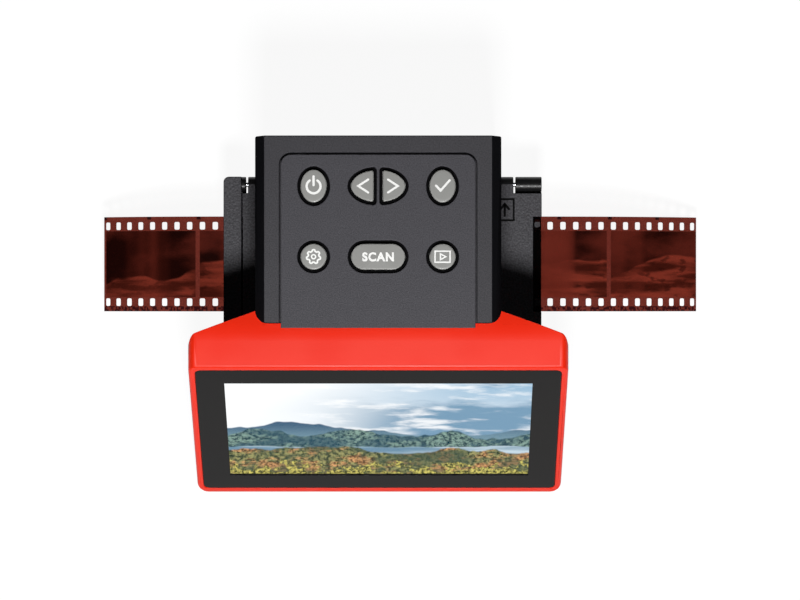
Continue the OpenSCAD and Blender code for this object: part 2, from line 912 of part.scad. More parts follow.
// Half section of a lens with both faces curved to radius r, and semi-diameter a
function lens_section(a, r, edge) =
    let(face = asin(a / r),
        arc = [for (i = [0:6]) let(t = face * i / 6) [r * sin(t), r * (cos(t) - cos(face)) + edge / 2]])
    concat(arc, [for (i = [6:-1:0]) [arc[i][0], -arc[i][1]]]);

module lens_glass() {
    color(glass_black)
        for (lens = [[5.8, 6.1], [13.4, 5.1]])
            translate([0, 0, lens_bottom + lens[0]])
                rotate_extrude()
                    polygon(lens_section(lens[1], 14, 1.2));
}

module lens_mount() {
    z0 = sensor_z - 8;
    color(black_moulding)
        difference() {
            union() {
                translate([0, 0, z0])
                    cylinder(r = 9.4, h = 8 - 0.05);
                block([-14, 14], [-6, 6], [sensor_z - 2, sensor_z - 0.05]);
            }
            translate([0, 0, z0 - 1])
                cylinder(r = 7.25, h = 20);
            for (side = [-1, 1])
                translate([side * 11.6, 0, sensor_z - 3])
                    cylinder(r = 0.9, h = 5);
        }
}

module camera_posts() {
    color([0.78, 0.62, 0.3])
        four(camera_post_x, camera_post_y[0], camera_post_y[1]) {
            translate([0, 0, guide_z + guide_t + 0.02])
                cylinder(r = camera_post_r, h = sensor_z - guide_z - guide_t - 0.04, $fn = 6);
            translate([0, 0, guide_z + 0.3])
                cylinder(r = 1, h = 3);
        }
}

module sensor_board() {
    half = camera_post_x + 3.4;
    color(board_green)
        difference() {
            block([-half, half], [camera_post_y[0] - 2.8, half], [sensor_z, sensor_z + board_t]);
            block([-half + 7, half - 7], [17, half + 1], [sensor_z - 1, sensor_z + board_t + 1]);
            four(camera_post_x, camera_post_y[0], camera_post_y[1])
                translate([0, 0, sensor_z - 1])
                    cylinder(r = hole_r, h = 4);
        }
}

module image_sensor() {
    color(glass_black)
        block([-4.6, 4.6], [-4, 4], [sensor_z - 1.3, sensor_z - 0.02]);
}

// A flat cable of width w along a Y-Z path of points
module ribbon(x, w, path, t = 0.3) {
    n = len(path);
    along_x(x - w / 2, x + w / 2)
        polygon(concat(path, [for (i = [n - 1:-1:0]) path[i] + ribbon_side(path, i) * t]));
}

// Unit vector across the path at point i
function ribbon_side(path, i) =
    let(a = path[max(i - 1, 0)],
        b = path[min(i + 1, len(path) - 1)],
        d = (b - a) / norm(b - a))
    [-d[1], d[0]];

module sensor_ribbon() {
    color(ribbon_amber)
        ribbon(-5.5, 7, [[-10.8, 67.8], [-13.4, 67.2], [-16.8, 64.6], [-20.2, 60.6], [-24.4, 55], [-28.2, 51],
            [-31.2, 48.4], [-34.5, 46.6], [-37.6, 46.6], [-39.1, 49.4]]);
}

module key_ribbon() {
    color(ribbon_amber)
        ribbon(5.5, 7, [[-9.6, 73.6], [-12.6, 73], [-14.7, 70.8], [-16, 67.4], [-19.4, 61.6], [-24.4, 55],
            [-28.2, 51], [-31.2, 48.4], [-34.5, 46.6], [-37.6, 46.6], [-39.1, 49.4]]);
}

// --- Backlight --------------------------------------------------------------

light_screw_x = 28;

module diffuser() {
    color(white_moulding)
        block([-window_x - 1.5, window_x + 1.5], [-window_y - 1.5, window_y + 1.5],
            [deck_z - 1.25, deck_z - 0.05]);
}

module light_box() {
    z1 = deck_z - deck_t - 0.05;
    color(white_moulding)
        difference() {
            union() {
                block([-light_box_x, light_box_x], [-light_box_y, light_box_y], [light_box_z, z1]);
                block([-light_screw_x - 4, light_screw_x + 4], [-4, 4], [z1 - 2, z1]);
            }
            block([light_wall - light_box_x, light_box_x - light_wall],
                [light_wall - light_box_y, light_box_y - light_wall], [light_box_z - 1, z1 + 1]);
            for (side = [-1, 1])
                translate([side * light_screw_x, 0, light_box_z])
                    cylinder(r = hole_r, h = 20);
        }
}

module light_box_screws() {
    z = deck_z - deck_t - 2.08;
    color(steel)
        for (side = [-1, 1])
            translate([side * light_screw_x, 0, z])
                screw(3.4);
}

module backlight_board() {
    color(board_green)
        block([-light_box_x, light_box_x], [-light_box_y, light_box_y], [light_box_z - board_t - 0.02, light_box_z - 0.02]);
}

module backlight_leds() {
    color(white_moulding)
        for (i = [0:led_columns - 1])
            for (j = [0:led_rows - 1])
                translate([(i - (led_columns - 1) / 2) * 10, (j - (led_rows - 1) / 2) * 9.5, light_box_z])
                    translate([-1.4, -1.75, 0])
                        cube([2.8, 3.5, 0.9]);
}

// --- Sockets ----------------------------------------------------------------

module port_board() {
    color(board_green)
        difference() {
            block(port_board_x, port_board_y, [port_board_z, port_board_z + board_t]);
            for (x = [-port_screw_x, port_screw_x])
                translate([x, 22, 0])
                    cylinder(r = hole_r, h = 20);
            // Corners cut back round the sleeves of the housing screws
            for (side = [-1, 1])
                translate([side * housing_x, housing_y_rear, 0])
                    cylinder(r = 4, h = 20);
        }
}

// A sheet-metal socket shell of the given size, open to the rear
module socket_shell(size, r, wall) {
    z = port_board_z + board_t + 0.02 + size[2] / 2;
    y1 = body_rear - 0.4;
    translate([0, y1 - size[1], z])
        difference() {
            socket_cut(size[0], size[2], r, size[1]);
            translate([0, 1, 0])
                socket_cut(size[0] - 2 * wall, size[2] - 2 * wall, max(r - wall, 0.1), size[1]);
        }
}

module usb_port() {
    z = port_board_z + board_t + usb_size[2] / 2;
    color(steel)
        translate([usb_x, 0, 0]) {
            socket_shell(usb_size, 1.6, 0.3);
            block([-3.3, 3.3], [body_rear - 6.6, body_rear - 1.6], [z - 0.35, z + 0.35]);
        }
}

module video_port() {
    z = port_board_z + board_t + video_size[2] / 2;
    color(steel)
        translate([video_x, 0, 0]) {
            socket_shell(video_size, 0.5, 0.35);
            block([-4.2, 4.2], [body_rear - 6.8, body_rear - 1.8], [z - 0.4, z + 0.4]);
        }
}

module card_slot() {
    color(steel)
        translate([card_x, 0, 0])
            socket_shell(card_size, 0.25, 0.4);
}

module port_board_screws() {
    color(steel)
        for (x = [-port_screw_x, port_screw_x])
            translate([x, 22, port_board_z + board_t + 0.03])
                screw(4, false);
}

module housing_screws() {
    color(steel) {
        for (side = [-1, 1]) {
            translate([side * housing_x, housing_y_rear, base_z + 0.98])
                scale(0.98)
                    screw(34);
            translate([side * housing_x, housing_y_front, base_z + 0.98])
                scale(0.98)
                    screw(26);
        }
    }
}

// --- Film holder ------------------------------------------------------------

module hinge_cylinder(x0, x1, r) {
    translate([x0, hinge_y, hinge_z])
        rotate([0, 90, 0])
            cylinder(r = r, h = x1 - x0);
}

// The channel floor dips at both ends, so that the drooping strip runs in freely
module film_channel(roof) {
    along_y(-channel_half, channel_half)
        polygon([[holder_left - 1, channel_floor - mouth_depth - 0.1], [holder_left, channel_floor - mouth_depth],
            [holder_left + mouth_l, channel_floor], [holder_right - mouth_l, channel_floor],
            [holder_right, channel_floor - mouth_depth], [holder_right + 1, channel_floor - mouth_depth - 0.1],
            [holder_right + 1, roof], [holder_left - 1, roof]]);
}

module holder_base() {
    clear_r = hinge_r + 0.3;
    color(black_moulding)
        difference() {
            union() {
                difference() {
                    union() {
                        translate([0, 0, holder_bottom])
                            linear_extrude(part_z - holder_bottom)
                                polygon(rounded(box_outline(holder_left, holder_right, -holder_rear, holder_rear),
                                    [2, 2, 1, 2]));
                        // Bridge that the strip passes under at the left end
                        translate([0, 0, holder_bottom])
                            linear_extrude(holder_top - holder_bottom)
                                polygon(rounded(box_outline(holder_left, holder_left + bridge_w, -holder_rear, holder_rear),
                                    [2, 0, 0, 2]));
                    }
                    // Room for the knuckles
                    block([knuckle_left, knuckle_right], [hinge_y - clear_r, far], [0, far]);
                    block([holder_left + bridge_w, holder_right + 1], [hinge_y, far], [0, far]);
                }
                hinge_cylinder(knuckle_right, holder_right, hinge_r);
                hinge_cylinder(holder_left + bridge_w - 1, knuckle_left, hinge_r);
                for (x = [[knuckle_right, holder_right], [holder_left + bridge_w - 1, knuckle_left]])
                    block(x, [hinge_y - hinge_r - 0.6, hinge_y], [holder_bottom, hinge_z]);
            }
            film_channel(part_z + eps);
            block([holder_left + bridge_w, holder_right + 1], [-channel_half, channel_half], [channel_roof, far]);
            block([-gate_x, gate_x], [-gate_y, gate_y], [0, far]);
            hinge_cylinder(holder_left + 1.6, holder_right + 1, pin_r + pin_clear_base);
            for (side = [-1, 1])
                translate([side * magnet_x, magnet_y, part_z - magnet_t - 0.1])
                    cylinder(r = magnet_r + 0.05, h = 5);
        }
}

module holder_lid() {
    z0 = part_z + lid_gap;
    clear_y = hinge_y - hinge_r - 0.35;
    color(black_moulding)
        difference() {
            union() {
                translate([0, 0, z0])
                    linear_extrude(holder_top - z0)
                        polygon([[lid_left, -holder_rear], [lid_step_x, -holder_rear], [lid_step_x, lid_step_y],
                            [holder_right, lid_step_y], [holder_right, clear_y],
                            [knuckle_right - knuckle_gap, clear_y], [knuckle_right - knuckle_gap, hinge_y],
                            [knuckle_left + knuckle_gap, hinge_y], [knuckle_left + knuckle_gap, clear_y],
                            [lid_left, clear_y]]);
                // Pad that keeps the strip flat in its channel
                block([lid_left, lid_step_x], [0.3 - channel_half, channel_half - 0.3], [channel_roof, z0 + eps]);
                hinge_cylinder(knuckle_left + knuckle_gap, knuckle_right - knuckle_gap, hinge_r);
            }
            block([-gate_x - 0.5, gate_x + 0.5], [-gate_y - 0.5, gate_y + 0.5], [0, far]);
            hinge_cylinder(-far, far, pin_r + pin_clear_lid);
            for (side = [-1, 1])
                translate([side * magnet_x, magnet_y, z0 - eps])
                    cylinder(r = magnet_r + 0.05, h = magnet_t + 0.1);
        }
}

module hinge_pin() {
    color(steel)
        hinge_cylinder(holder_left + 1.8, holder_right - 1, pin_r);
}

module base_magnets() {
    color(steel)
        for (side = [-1, 1])
            translate([side * magnet_x, magnet_y, part_z - magnet_t - 0.05])
                cylinder(r = magnet_r, h = magnet_t);
}

module lid_magnets() {
    color(steel)
        for (side = [-1, 1])
            translate([side * magnet_x, magnet_y, part_z + lid_gap + 0.03])
                cylinder(r = magnet_r, h = magnet_t);
}

// --- Film strip -------------------------------------------------------------

// Point of the X-Z plane at length s along the strip, raised by lift from its middle
function strip_at(s, lift) =
    let(side = s < flat_left ? -1 : s > flat_right ? 1 : 0,
        r = side < 0 ? droop_left_r : droop_right_r,
        start = side < 0 ? flat_left : flat_right,
        angle = abs(s - start) / r * 180 / PI)
    side == 0 ? [s, film_z + lift]
        : [start + side * (r + lift) * sin(angle), film_z - r + (r + lift) * cos(angle)];

// Lengths at which the outline of the strip has a point: close together in the arcs
STRIP_STEPS = concat([for (i = [0:strip_arc_steps]) strip_left + (flat_left - strip_left) * i / strip_arc_steps],
    [for (i = [0:strip_arc_steps]) flat_right + (strip_right - flat_right) * i / strip_arc_steps]);

// Places its children on the strip at the length s from the optical axis
module on_strip(s) {
    left = flat_left - s;
    right = s - flat_right;
    if (left > 0)
        strip_point(flat_left, droop_left_r, -left / droop_left_r * 180 / PI)
            children();
    else if (right > 0)
        strip_point(flat_right, droop_right_r, right / droop_right_r * 180 / PI)
            children();
    else
        translate([s, 0, film_z])
            children();
}

module strip_point(x, r, angle) {
    translate([x, 0, film_z - r])
        rotate([0, angle, 0])
            translate([0, 0, r])
                children();
}

module film_strip() {
    count = floor((strip_l - perforation_l - 2 * strip_margin) / perforation_pitch) + 1;
    first = film_shift - (count - 1) / 2 * perforation_pitch;
    last_step = len(STRIP_STEPS) - 1;
    color(film_brown)
        difference() {
            along_y(-film_w / 2, film_w / 2)
                polygon(concat([for (s = STRIP_STEPS) strip_at(s, film_t / 2)],
                    [for (i = [last_step:-1:0]) strip_at(STRIP_STEPS[i], -film_t / 2)]));
            for (i = [0:count - 1])
                on_strip(first + i * perforation_pitch)
                    for (side = [-1, 1])
                        translate([0, side * perforation_y, 0])
                            cube([perforation_l, perforation_w, 1], center = true);
        }
}

hood();
lower_case();
base_cover();
rubber_feet();
front_shell();
display_back_cover();
control_plate();
key_power();
key_left();
key_right();
key_ok();
key_settings();
key_capture();
key_playback();
key_board();
key_switches();
key_board_screws();
screen_glass();
lcd_panel();
display_bracket();
main_board();
display_cover_screws();
display_mount_screws();
guide_plate();
guide_plate_screws();
light_shroud();
lens_barrel();
lens_glass();
lens_mount();
camera_posts();
sensor_board();
image_sensor();
diffuser();
light_box();
light_box_screws();
backlight_board();
backlight_leds();
port_board();
usb_port();
video_port();
card_slot();
port_board_screws();
sensor_ribbon();
key_ribbon();
housing_screws();
holder_base();
holder_lid();
hinge_pin();
base_magnets();
lid_magnets();
film_strip();
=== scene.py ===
# A film negative scanner: black upper body with a level key plate, red housing with a
# tilted screen, and a hinged film holder that slides through the body with a 35 mm
# strip in it. The sections follow the object as it is put together. All in metres.
import math

import bmesh
import bpy
from mathutils import Color, Matrix, Vector


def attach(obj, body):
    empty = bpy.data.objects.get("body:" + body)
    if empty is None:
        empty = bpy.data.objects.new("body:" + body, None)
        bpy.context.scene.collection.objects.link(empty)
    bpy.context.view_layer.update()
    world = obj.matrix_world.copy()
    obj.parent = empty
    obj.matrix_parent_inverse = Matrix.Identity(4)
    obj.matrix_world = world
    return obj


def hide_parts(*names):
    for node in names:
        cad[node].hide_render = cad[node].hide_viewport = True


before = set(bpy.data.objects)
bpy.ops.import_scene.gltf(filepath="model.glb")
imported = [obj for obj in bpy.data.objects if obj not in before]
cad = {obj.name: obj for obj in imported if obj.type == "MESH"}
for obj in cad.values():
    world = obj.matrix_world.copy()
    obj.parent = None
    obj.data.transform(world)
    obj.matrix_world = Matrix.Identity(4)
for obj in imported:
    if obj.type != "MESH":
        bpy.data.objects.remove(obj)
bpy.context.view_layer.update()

# --- Upper body --------------------------------------------------------------
# The tall black cover over the camera, injection-moulded in ABS: a fine spark texture on its
# level top, painted a lighter grey there as part painted sheen, smooth deep-black sides and
# sloping side bevels, the bevels painted near-black without gloss as painted shade. It is one
# shell with a recess in its top for the key plate, screwed down from below.
MM = 0.001
BODY_EDGE = 0.28 * MM


def paint(red, green, blue):
    """A finish's colour from its 0-255 values on a screen."""
    return (*Color((red / 255, green / 255, blue / 255)).from_srgb_to_scene_linear(), 1)


def place(tree, kind, inputs=(), **settings):
    """A node in tree, with its settings and its inputs: a socket is linked, a value is set."""
    made = tree.nodes.new(kind)
    for name, value in settings.items():
        setattr(made, name, value)
    for name, value in dict(inputs).items():
        if isinstance(value, bpy.types.NodeSocket):
            tree.links.new(value, made.inputs[name])
        else:
            made.inputs[name].default_value = value
    return made


def calc(tree, operation, *values):
    """The result of a Math node."""
    return place(tree, "ShaderNodeMath", enumerate(values), operation=operation).outputs[0]


def blended(tree, factor, first, second):
    """The colour between first and second."""
    inputs = {0: factor, 6: first, 7: second}
    return place(tree, "ShaderNodeMix", inputs, data_type="RGBA").outputs[2]


def ramp(tree, value, low, high, to_low=0.0, to_high=1.0):
    """value from low..high to to_low..to_high, with soft ends."""
    inputs = {0: value, 1: low, 2: high, 3: to_low, 4: to_high}
    made = place(tree, "ShaderNodeMapRange", inputs, interpolation_type="SMOOTHSTEP")
    return made.outputs[0]


def here(tree):
    """Where a point of the piece is, by the piece's own coordinates."""
    return place(tree, "ShaderNodeTexCoord").outputs["Object"]


def noise(tree, vector, scale, detail=2.0):
    """Soft spots, from 0 to 1, about scale of them to one unit of vector."""
    inputs = {"Vector": vector, "Scale": scale, "Detail": detail}
    return place(tree, "ShaderNodeTexNoise", inputs).outputs["Fac"]


def effect(name, inputs, outputs):
    """An empty shader node group: its tree, its input sockets and its output node."""
    tree = bpy.data.node_groups.new(name, "ShaderNodeTree")
    for label, value in inputs.items():
        socket = tree.interface.new_socket(label, in_out="INPUT", socket_type="NodeSocketFloat")
        socket.default_value = value
    for label in outputs:
        tree.interface.new_socket(label, in_out="OUTPUT", socket_type="NodeSocketFloat")
    return tree, tree.nodes.new("NodeGroupInput").outputs, tree.nodes.new("NodeGroupOutput")


def grain_effect():
    """Spark-eroded mould texture: Height of the pits, and Tone, the speckle they show as."""
    tree, given, result = effect("mould grain", {"Grain": 0.4 * MM}, ["Height", "Tone"])
    where = here(tree)
    cells = calc(tree, "DIVIDE", 1.0, given["Grain"])
    pits = place(tree, "ShaderNodeTexVoronoi", {"Vector": where, "Scale": cells},
                 feature="SMOOTH_F1")
    fine, broad = noise(tree, where, cells, 3.0), noise(tree, where, 260.0)
    height = calc(tree, "ADD", calc(tree, "MULTIPLY", pits.outputs["Distance"], 0.6), fine)
    tone = calc(tree, "ADD", calc(tree, "MULTIPLY", ramp(tree, fine, 0.3, 0.7), 0.8),
                calc(tree, "MULTIPLY", broad, 0.2))
    tree.links.new(height, result.inputs["Height"])
    tree.links.new(tone, result.inputs["Tone"])
    return tree


GRAIN = grain_effect()


def finish(name, colour, **sockets):
    """A new material: its tree and its Principled shader, with plain sockets set."""
    made = bpy.data.materials.new(name)
    made.use_nodes = True
    made.diffuse_color = colour
    shader = made.node_tree.nodes["Principled BSDF"]
    shader.inputs["Base Color"].default_value = colour
    for label, value in sockets.items():
        label = label.replace("_", " ").replace("Specular Level", "Specular IOR Level")
        shader.inputs[label].default_value = value
    return made, made.node_tree, shader.inputs


def feed(tree, value, socket):
    """Links value to a socket of the shader."""
    tree.links.new(value, socket)


def raised(tree, shader, height, depth):
    """Bumps a finish: depth is how far 1 in height stands above 0."""
    bump = place(tree, "ShaderNodeBump", {"Height": height, "Distance": depth})
    feed(tree, bump.outputs["Normal"], shader["Normal"])


def moulded(name, colour, grain, depth, roughness, specular=0.3, spread=0.25):
    """Moulded plastic with a spark texture of that grain and depth."""
    made, tree, shader = finish(name, colour, Specular_Level=specular)
    pits = place(tree, "ShaderNodeGroup", node_tree=GRAIN)
    pits.inputs["Grain"].default_value = grain
    tone = pits.outputs["Tone"]
    dark, pale = ([c * k for c in colour[:3]] + [1] for k in (1 - spread, 1 + spread))
    feed(tree, blended(tree, tone, dark, pale), shader["Base Color"])
    feed(tree, ramp(tree, tone, 0, 1, roughness + 0.06, roughness - 0.06), shader["Roughness"])
    raised(tree, shader, pits.outputs["Height"], depth)
    return made


def solid_of(node):
    """A CAD node's solids as a mesh in work, its loose triangles joined to whole faces."""
    shape = bmesh.new()
    shape.from_mesh(cad[node].data)
    bmesh.ops.remove_doubles(shape, verts=shape.verts, dist=0.03 * MM)
    bmesh.ops.dissolve_limit(shape, angle_limit=math.radians(1), verts=shape.verts,
                             edges=shape.edges)
    return shape


def round_edges(shape, width, steps=3, least=32, chosen=lambda edge: True):
    """Rounds the outer edges that turn by more than least degrees."""
    turn = math.radians(least)
    sharp = [e for e in shape.edges if e.calc_face_angle_signed(0) > turn and chosen(e)]
    bmesh.ops.bevel(shape, geom=sharp, offset=width, segments=steps, profile=0.5, affect="EDGES",
                    clamp_overlap=False)


def added(name, data):
    """A new object in the scene."""
    made = bpy.data.objects.new(name, data)
    bpy.context.scene.collection.objects.link(made)
    return made


def smooth(mesh, least=40):
    """Shades a mesh smooth but for the edges that turn by more than least degrees."""
    mesh.polygons.foreach_set("use_smooth", [True] * len(mesh.polygons))
    mesh.set_sharp_from_angle(angle=math.radians(least))


def finished(name, shape, *materials, smooth_to=40, pick=None):
    """The object made of shape; pick gives the number of the material of a face."""
    mesh = bpy.data.meshes.new(name)
    if pick:
        for face in shape.faces:
            face.material_index = pick(face)
    shape.to_mesh(mesh)
    shape.free()
    for extra in [a for a in mesh.attributes if a.name == "custom_normal"]:
        mesh.attributes.remove(extra)
    for made in materials:
        mesh.materials.append(made)
    smooth(mesh, smooth_to)
    made = added(name, mesh)
    flat = made.modifiers.new("flat faces", "WEIGHTED_NORMAL")
    flat.keep_sharp = True
    return made


# The level top's lighter grey is partly a painted sheen; the sloping faces' near-black without
# gloss is painted shade.
HOOD_TOP_PAINTED_SHEEN = moulded("black_spark_texture", paint(59, 58, 62), 0.42 * MM, 0.05 * MM, 0.48, 0.25, 0.34)
BLACK_SIDE_PAINTED_SHADE = moulded("black_smooth_side", paint(24, 24, 27), 0.8 * MM, 0.006 * MM, 0.5, 0.0, 0.1)
BLACK_TEXTURE = moulded("black_fine_texture", paint(36, 36, 38), 0.5 * MM, 0.03 * MM, 0.5, 0.2, 0.2)
INNER_X, INNER_Y, INNER_Z = 41.5 * MM, 43 * MM, 80 * MM


def outside(edge):
    """Whether an edge is on the outer skin: past the cavity to a side, the rear or the top."""
    return all(abs(v.co.x) > INNER_X or v.co.y > INNER_Y or v.co.z > INNER_Z for v in edge.verts)


def hood_sheen_shade_zone(face):
    """Level faces are textured and painted lighter as part painted sheen, sloping ones smooth and
    painted near-black as painted shade, upright ones finely textured.
    """
    return 0 if face.normal.z > 0.97 else 1 if face.normal.z > 0.15 else 2


shape = solid_of("hood")
round_edges(shape, BODY_EDGE, chosen=outside)
hood = finished("upper_body", shape, HOOD_TOP_PAINTED_SHEEN, BLACK_SIDE_PAINTED_SHADE, BLACK_TEXTURE, pick=hood_sheen_shade_zone)
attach(hood, "scanner")
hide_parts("hood")

# --- Lower body and base cover -----------------------------------------------
# The lower half of the body carries the deck that the holder slides on and the three
# sockets at the rear; a flat cover with air slots closes it from below. Both are the
# same black ABS, with an all-over fine texture.
shape = solid_of("lower_case")
round_edges(shape, BODY_EDGE)
lower = finished("lower_body", shape, BLACK_TEXTURE)
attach(lower, "scanner")
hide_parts("lower_case")

shape = solid_of("base_cover")
round_edges(shape, 0.2 * MM)
base = finished("bottom_cover", shape, BLACK_TEXTURE)
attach(base, "scanner")
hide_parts("base_cover")

# --- Feet --------------------------------------------------------------------
# Four soft rubber pads glued into seats: round ones under the body, long ones under
# the front edge of the red housing. Matt, with a faint dusty bloom.
def mottle(tree, scale, detail=2.0):
    """Soft spots over a piece, from 0 to 1, about scale of them to a metre."""
    return noise(tree, here(tree), scale, detail)


made, tree, shader = finish("foot_rubber", paint(30, 30, 30), Roughness=0.85, Specular_Level=0.2)
bloom = mottle(tree, 500.0, 4.0)
dusty = blended(tree, ramp(tree, bloom, 0.4, 0.75), paint(24, 24, 24), paint(50, 49, 47))
feed(tree, dusty, shader["Base Color"])
raised(tree, shader, bloom, 0.03 * MM)

shape = solid_of("rubber_feet")
round_edges(shape, 0.45 * MM)
feet = finished("feet", shape, made)
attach(feet, "scanner")
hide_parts("rubber_feet")

# --- Red screen housing ------------------------------------------------------
# The wedge-shaped front that holds the display: vermilion ABS, satin, with a very fine
# skin. Its top runs back under the upper body; a crease and rounded rim frame the glass.
made, tree, shader = finish("red_satin", paint(243, 44, 18), Roughness=0.34, Specular_Level=0.2)
cloud = mottle(tree, 45.0, 3.0)
feed(tree, blended(tree, cloud, paint(240, 39, 16), paint(246, 49, 21)), shader["Base Color"])
feed(tree, ramp(tree, cloud, 0.3, 0.7, 0.31, 0.38), shader["Roughness"])
raised(tree, shader, mottle(tree, 2600.0), 0.008 * MM)

shape = solid_of("front_shell")
round_edges(shape, 0.3 * MM, least=42)
housing = finished("screen_housing", shape, made)
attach(housing, "scanner")
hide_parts("front_shell")

shape = solid_of("display_back_cover")
round_edges(shape, 0.2 * MM)
back = finished("screen_rear_cover", shape, BLACK_TEXTURE)
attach(back, "scanner")
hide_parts("display_back_cover")

# --- Screen ------------------------------------------------------------------
# A pane of hardened glass, printed black behind its border and clear over the picture,
# laid into the housing. The lit panel is bonded to its rear. The place below the
# picture is bare.
TILT = math.radians(55.5)
CREASE = Vector((0, -37.2 * MM, 74 * MM))
SCREEN = Matrix.Translation(CREASE) @ Matrix.Rotation(TILT, 4, "X")
GLASS_W, GLASS_H, GLASS_TOP, GLASS_R = 131 * MM, 79.8 * MM, -2.4 * MM, 2.2 * MM
GLASS_Y = GLASS_TOP - GLASS_H / 2
GLASS_REAR, GLASS_FRONT, GLASS_RIM = -1.23 * MM, -0.13 * MM, 0.3 * MM
PICTURE_W, PICTURE_H, PICTURE_Y = 110.7 * MM, 62.3 * MM, -42.05 * MM


def box_corners(width, height, middle):
    """The four corners of an upright box round (0, middle), counter-clockwise."""
    x, y = width / 2, height / 2
    return [(x, middle + y), (-x, middle + y), (-x, middle - y), (x, middle - y)]


def corner_arcs(corners, radius, steps=5):
    """The box with its corners rounded: for each corner, the points of its arc."""
    arcs = []
    for i, (x, y) in enumerate(corners):
        cx = x - math.copysign(radius, x - corners[i - 2][0])
        cy = y - math.copysign(radius, y - corners[i - 2][1])
        turns = [math.radians(90 * (i + k / steps)) for k in range(steps + 1)]
        arcs.append([(cx + radius * math.cos(t), cy + radius * math.sin(t)) for t in turns])
    return arcs


def ring_faces(shape, corners, arcs):
    """Faces between the four vertices of corners and the four rows of vertices of arcs."""
    for i in range(4):
        for a, b in zip(arcs[i], arcs[i][1:]):
            shape.faces.new((corners[i], a, b))
        after = (i + 1) % 4
        shape.faces.new((corners[i], arcs[i][-1], arcs[after][0], corners[after]))


def skin_between(shape, first, second):
    """Faces that join two loops of the same number of vertices."""
    for i in range(len(first)):
        j = (i + 1) % len(first)
        shape.faces.new((first[i], first[j], second[j], second[i]))


shape = bmesh.new()
loops = []
for height, inset in ((GLASS_REAR, 0), (GLASS_FRONT - GLASS_RIM, 0),
                      (GLASS_FRONT - 0.3 * GLASS_RIM, 0.3 * GLASS_RIM), (GLASS_FRONT, GLASS_RIM)):
    corners = box_corners(GLASS_W - 2 * inset, GLASS_H - 2 * inset, GLASS_Y)
    arcs = corner_arcs(corners, GLASS_R - inset)
    loops.append([[shape.verts.new((*p, height)) for p in arc] for arc in arcs])
for arcs, height in ((loops[-1], GLASS_FRONT), (loops[0], GLASS_REAR)):
    window = box_corners(PICTURE_W, PICTURE_H, PICTURE_Y)
    inner = [shape.verts.new((*p, height)) for p in window]
    ring_faces(shape, inner, arcs)
    shape.faces.new(inner).material_index = 1
for low, high in zip(loops, loops[1:]):
    skin_between(shape, [v for arc in low for v in arc], [v for arc in high for v in arc])
bmesh.ops.recalc_face_normals(shape, faces=shape.faces)
shape.transform(SCREEN)

BORDER_GLASS, tree, shader = finish("black_border_glass", paint(19, 17, 17), Roughness=0.06,
                                    Specular_Level=0.1)
smear = mottle(tree, 30.0, 4.0)
feed(tree, ramp(tree, smear, 0.35, 0.75, 0.05, 0.1), shader["Roughness"])
feed(tree, blended(tree, smear, paint(16, 14, 14), paint(22, 20, 19)), shader["Base Color"])
made, tree, shader = finish("clear_window_glass", (1, 1, 1, 1), Roughness=0.04, IOR=1.12)
shader["Transmission Weight"].default_value = 1.0
feed(tree, ramp(tree, mottle(tree, 40.0, 4.0), 0.4, 0.8, 0.03, 0.06), shader["Roughness"])
glass = finished("cover_glass", shape, BORDER_GLASS, made)
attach(glass, "scanner")
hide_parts("screen_glass")

# The lit picture: a bonded panel with a valley, a lake and autumn bushes under clouds.
PANEL_EXTRA, PANEL_T, PANEL_Z = 1.2 * MM, 1.1 * MM, GLASS_REAR - 0.6 * MM
made, tree, shader = finish("lit_picture", (0, 0, 0, 1), Roughness=0.4, Specular_Level=0.0)
spot = place(tree, "ShaderNodeAttribute", attribute_name="picture").outputs["Vector"]
split = place(tree, "ShaderNodeSeparateXYZ", {0: spot})
across, up = split.outputs["X"], split.outputs["Y"]


def picture_noise(scale, stretch, seed, detail=5.0, rough=0.55):
    """Noise over the picture, stretched sideways."""
    moved = place(tree, "ShaderNodeMapping", {"Vector": spot, "Location": (seed, seed * 0.37, 0),
                                              "Scale": (1.78 / stretch, 1.0, 1.0)})
    inputs = {"Vector": moved.outputs[0], "Scale": scale, "Detail": detail, "Roughness": rough}
    return place(tree, "ShaderNodeTexNoise", inputs, noise_dimensions="2D").outputs["Fac"]


def ridge(scale, seed, low, high, detail=4.0):
    """Height of a skyline across the picture."""
    line = place(tree, "ShaderNodeCombineXYZ", {"X": across, "Y": seed})
    inputs = {"Vector": line.outputs[0], "Scale": scale, "Detail": detail}
    hills = place(tree, "ShaderNodeTexNoise", inputs, noise_dimensions="2D").outputs["Fac"]
    return ramp(tree, hills, 0.25, 0.75, low, high)


def below(line, soft=0.008):
    """1 below a skyline, 0 above it."""
    return ramp(tree, calc(tree, "SUBTRACT", line, up), -soft, soft)


def dappled(colour, seed, shade):
    """Land in sun and in the shadows of clouds."""
    cloud_shadow = ramp(tree, picture_noise(6.0, 1.7, seed, 6.0, 0.6), 0.4, 0.6, 0, 0.75)
    return blended(tree, cloud_shadow, colour, shade)


clouds = picture_noise(2.6, 3.0, 7.3, 7.0)
veil = picture_noise(9.0, 4.0, 2.1, 7.0)
sky = blended(tree, ramp(tree, up, 0.45, 1.0), paint(232, 238, 243), paint(150, 186, 212))
far_right = ramp(tree, across, 0.2, 0.7)
bank = calc(tree, "MULTIPLY", ramp(tree, clouds, 0.42, 0.6), calc(tree, "ADD", 0.15, far_right))
sky = blended(tree, bank, sky, paint(114, 152, 180))
sky = blended(tree, ramp(tree, veil, 0.5, 0.7, 0, 0.85), sky, paint(250, 251, 252))
from_sun = calc(tree, "ADD", across, calc(tree, "MULTIPLY", calc(tree, "SUBTRACT", 1.0, up), 0.8))
sky = blended(tree, ramp(tree, from_sun, 0.2, 1.0, 0.95, 0), sky, paint(254, 255, 255))
haze = blended(tree, ramp(tree, up, 0.36, 0.58), paint(112, 146, 162), paint(52, 88, 118))
scene_colour = blended(tree, below(ridge(2.2, 3.1, 0.42, 0.6)), sky, haze)
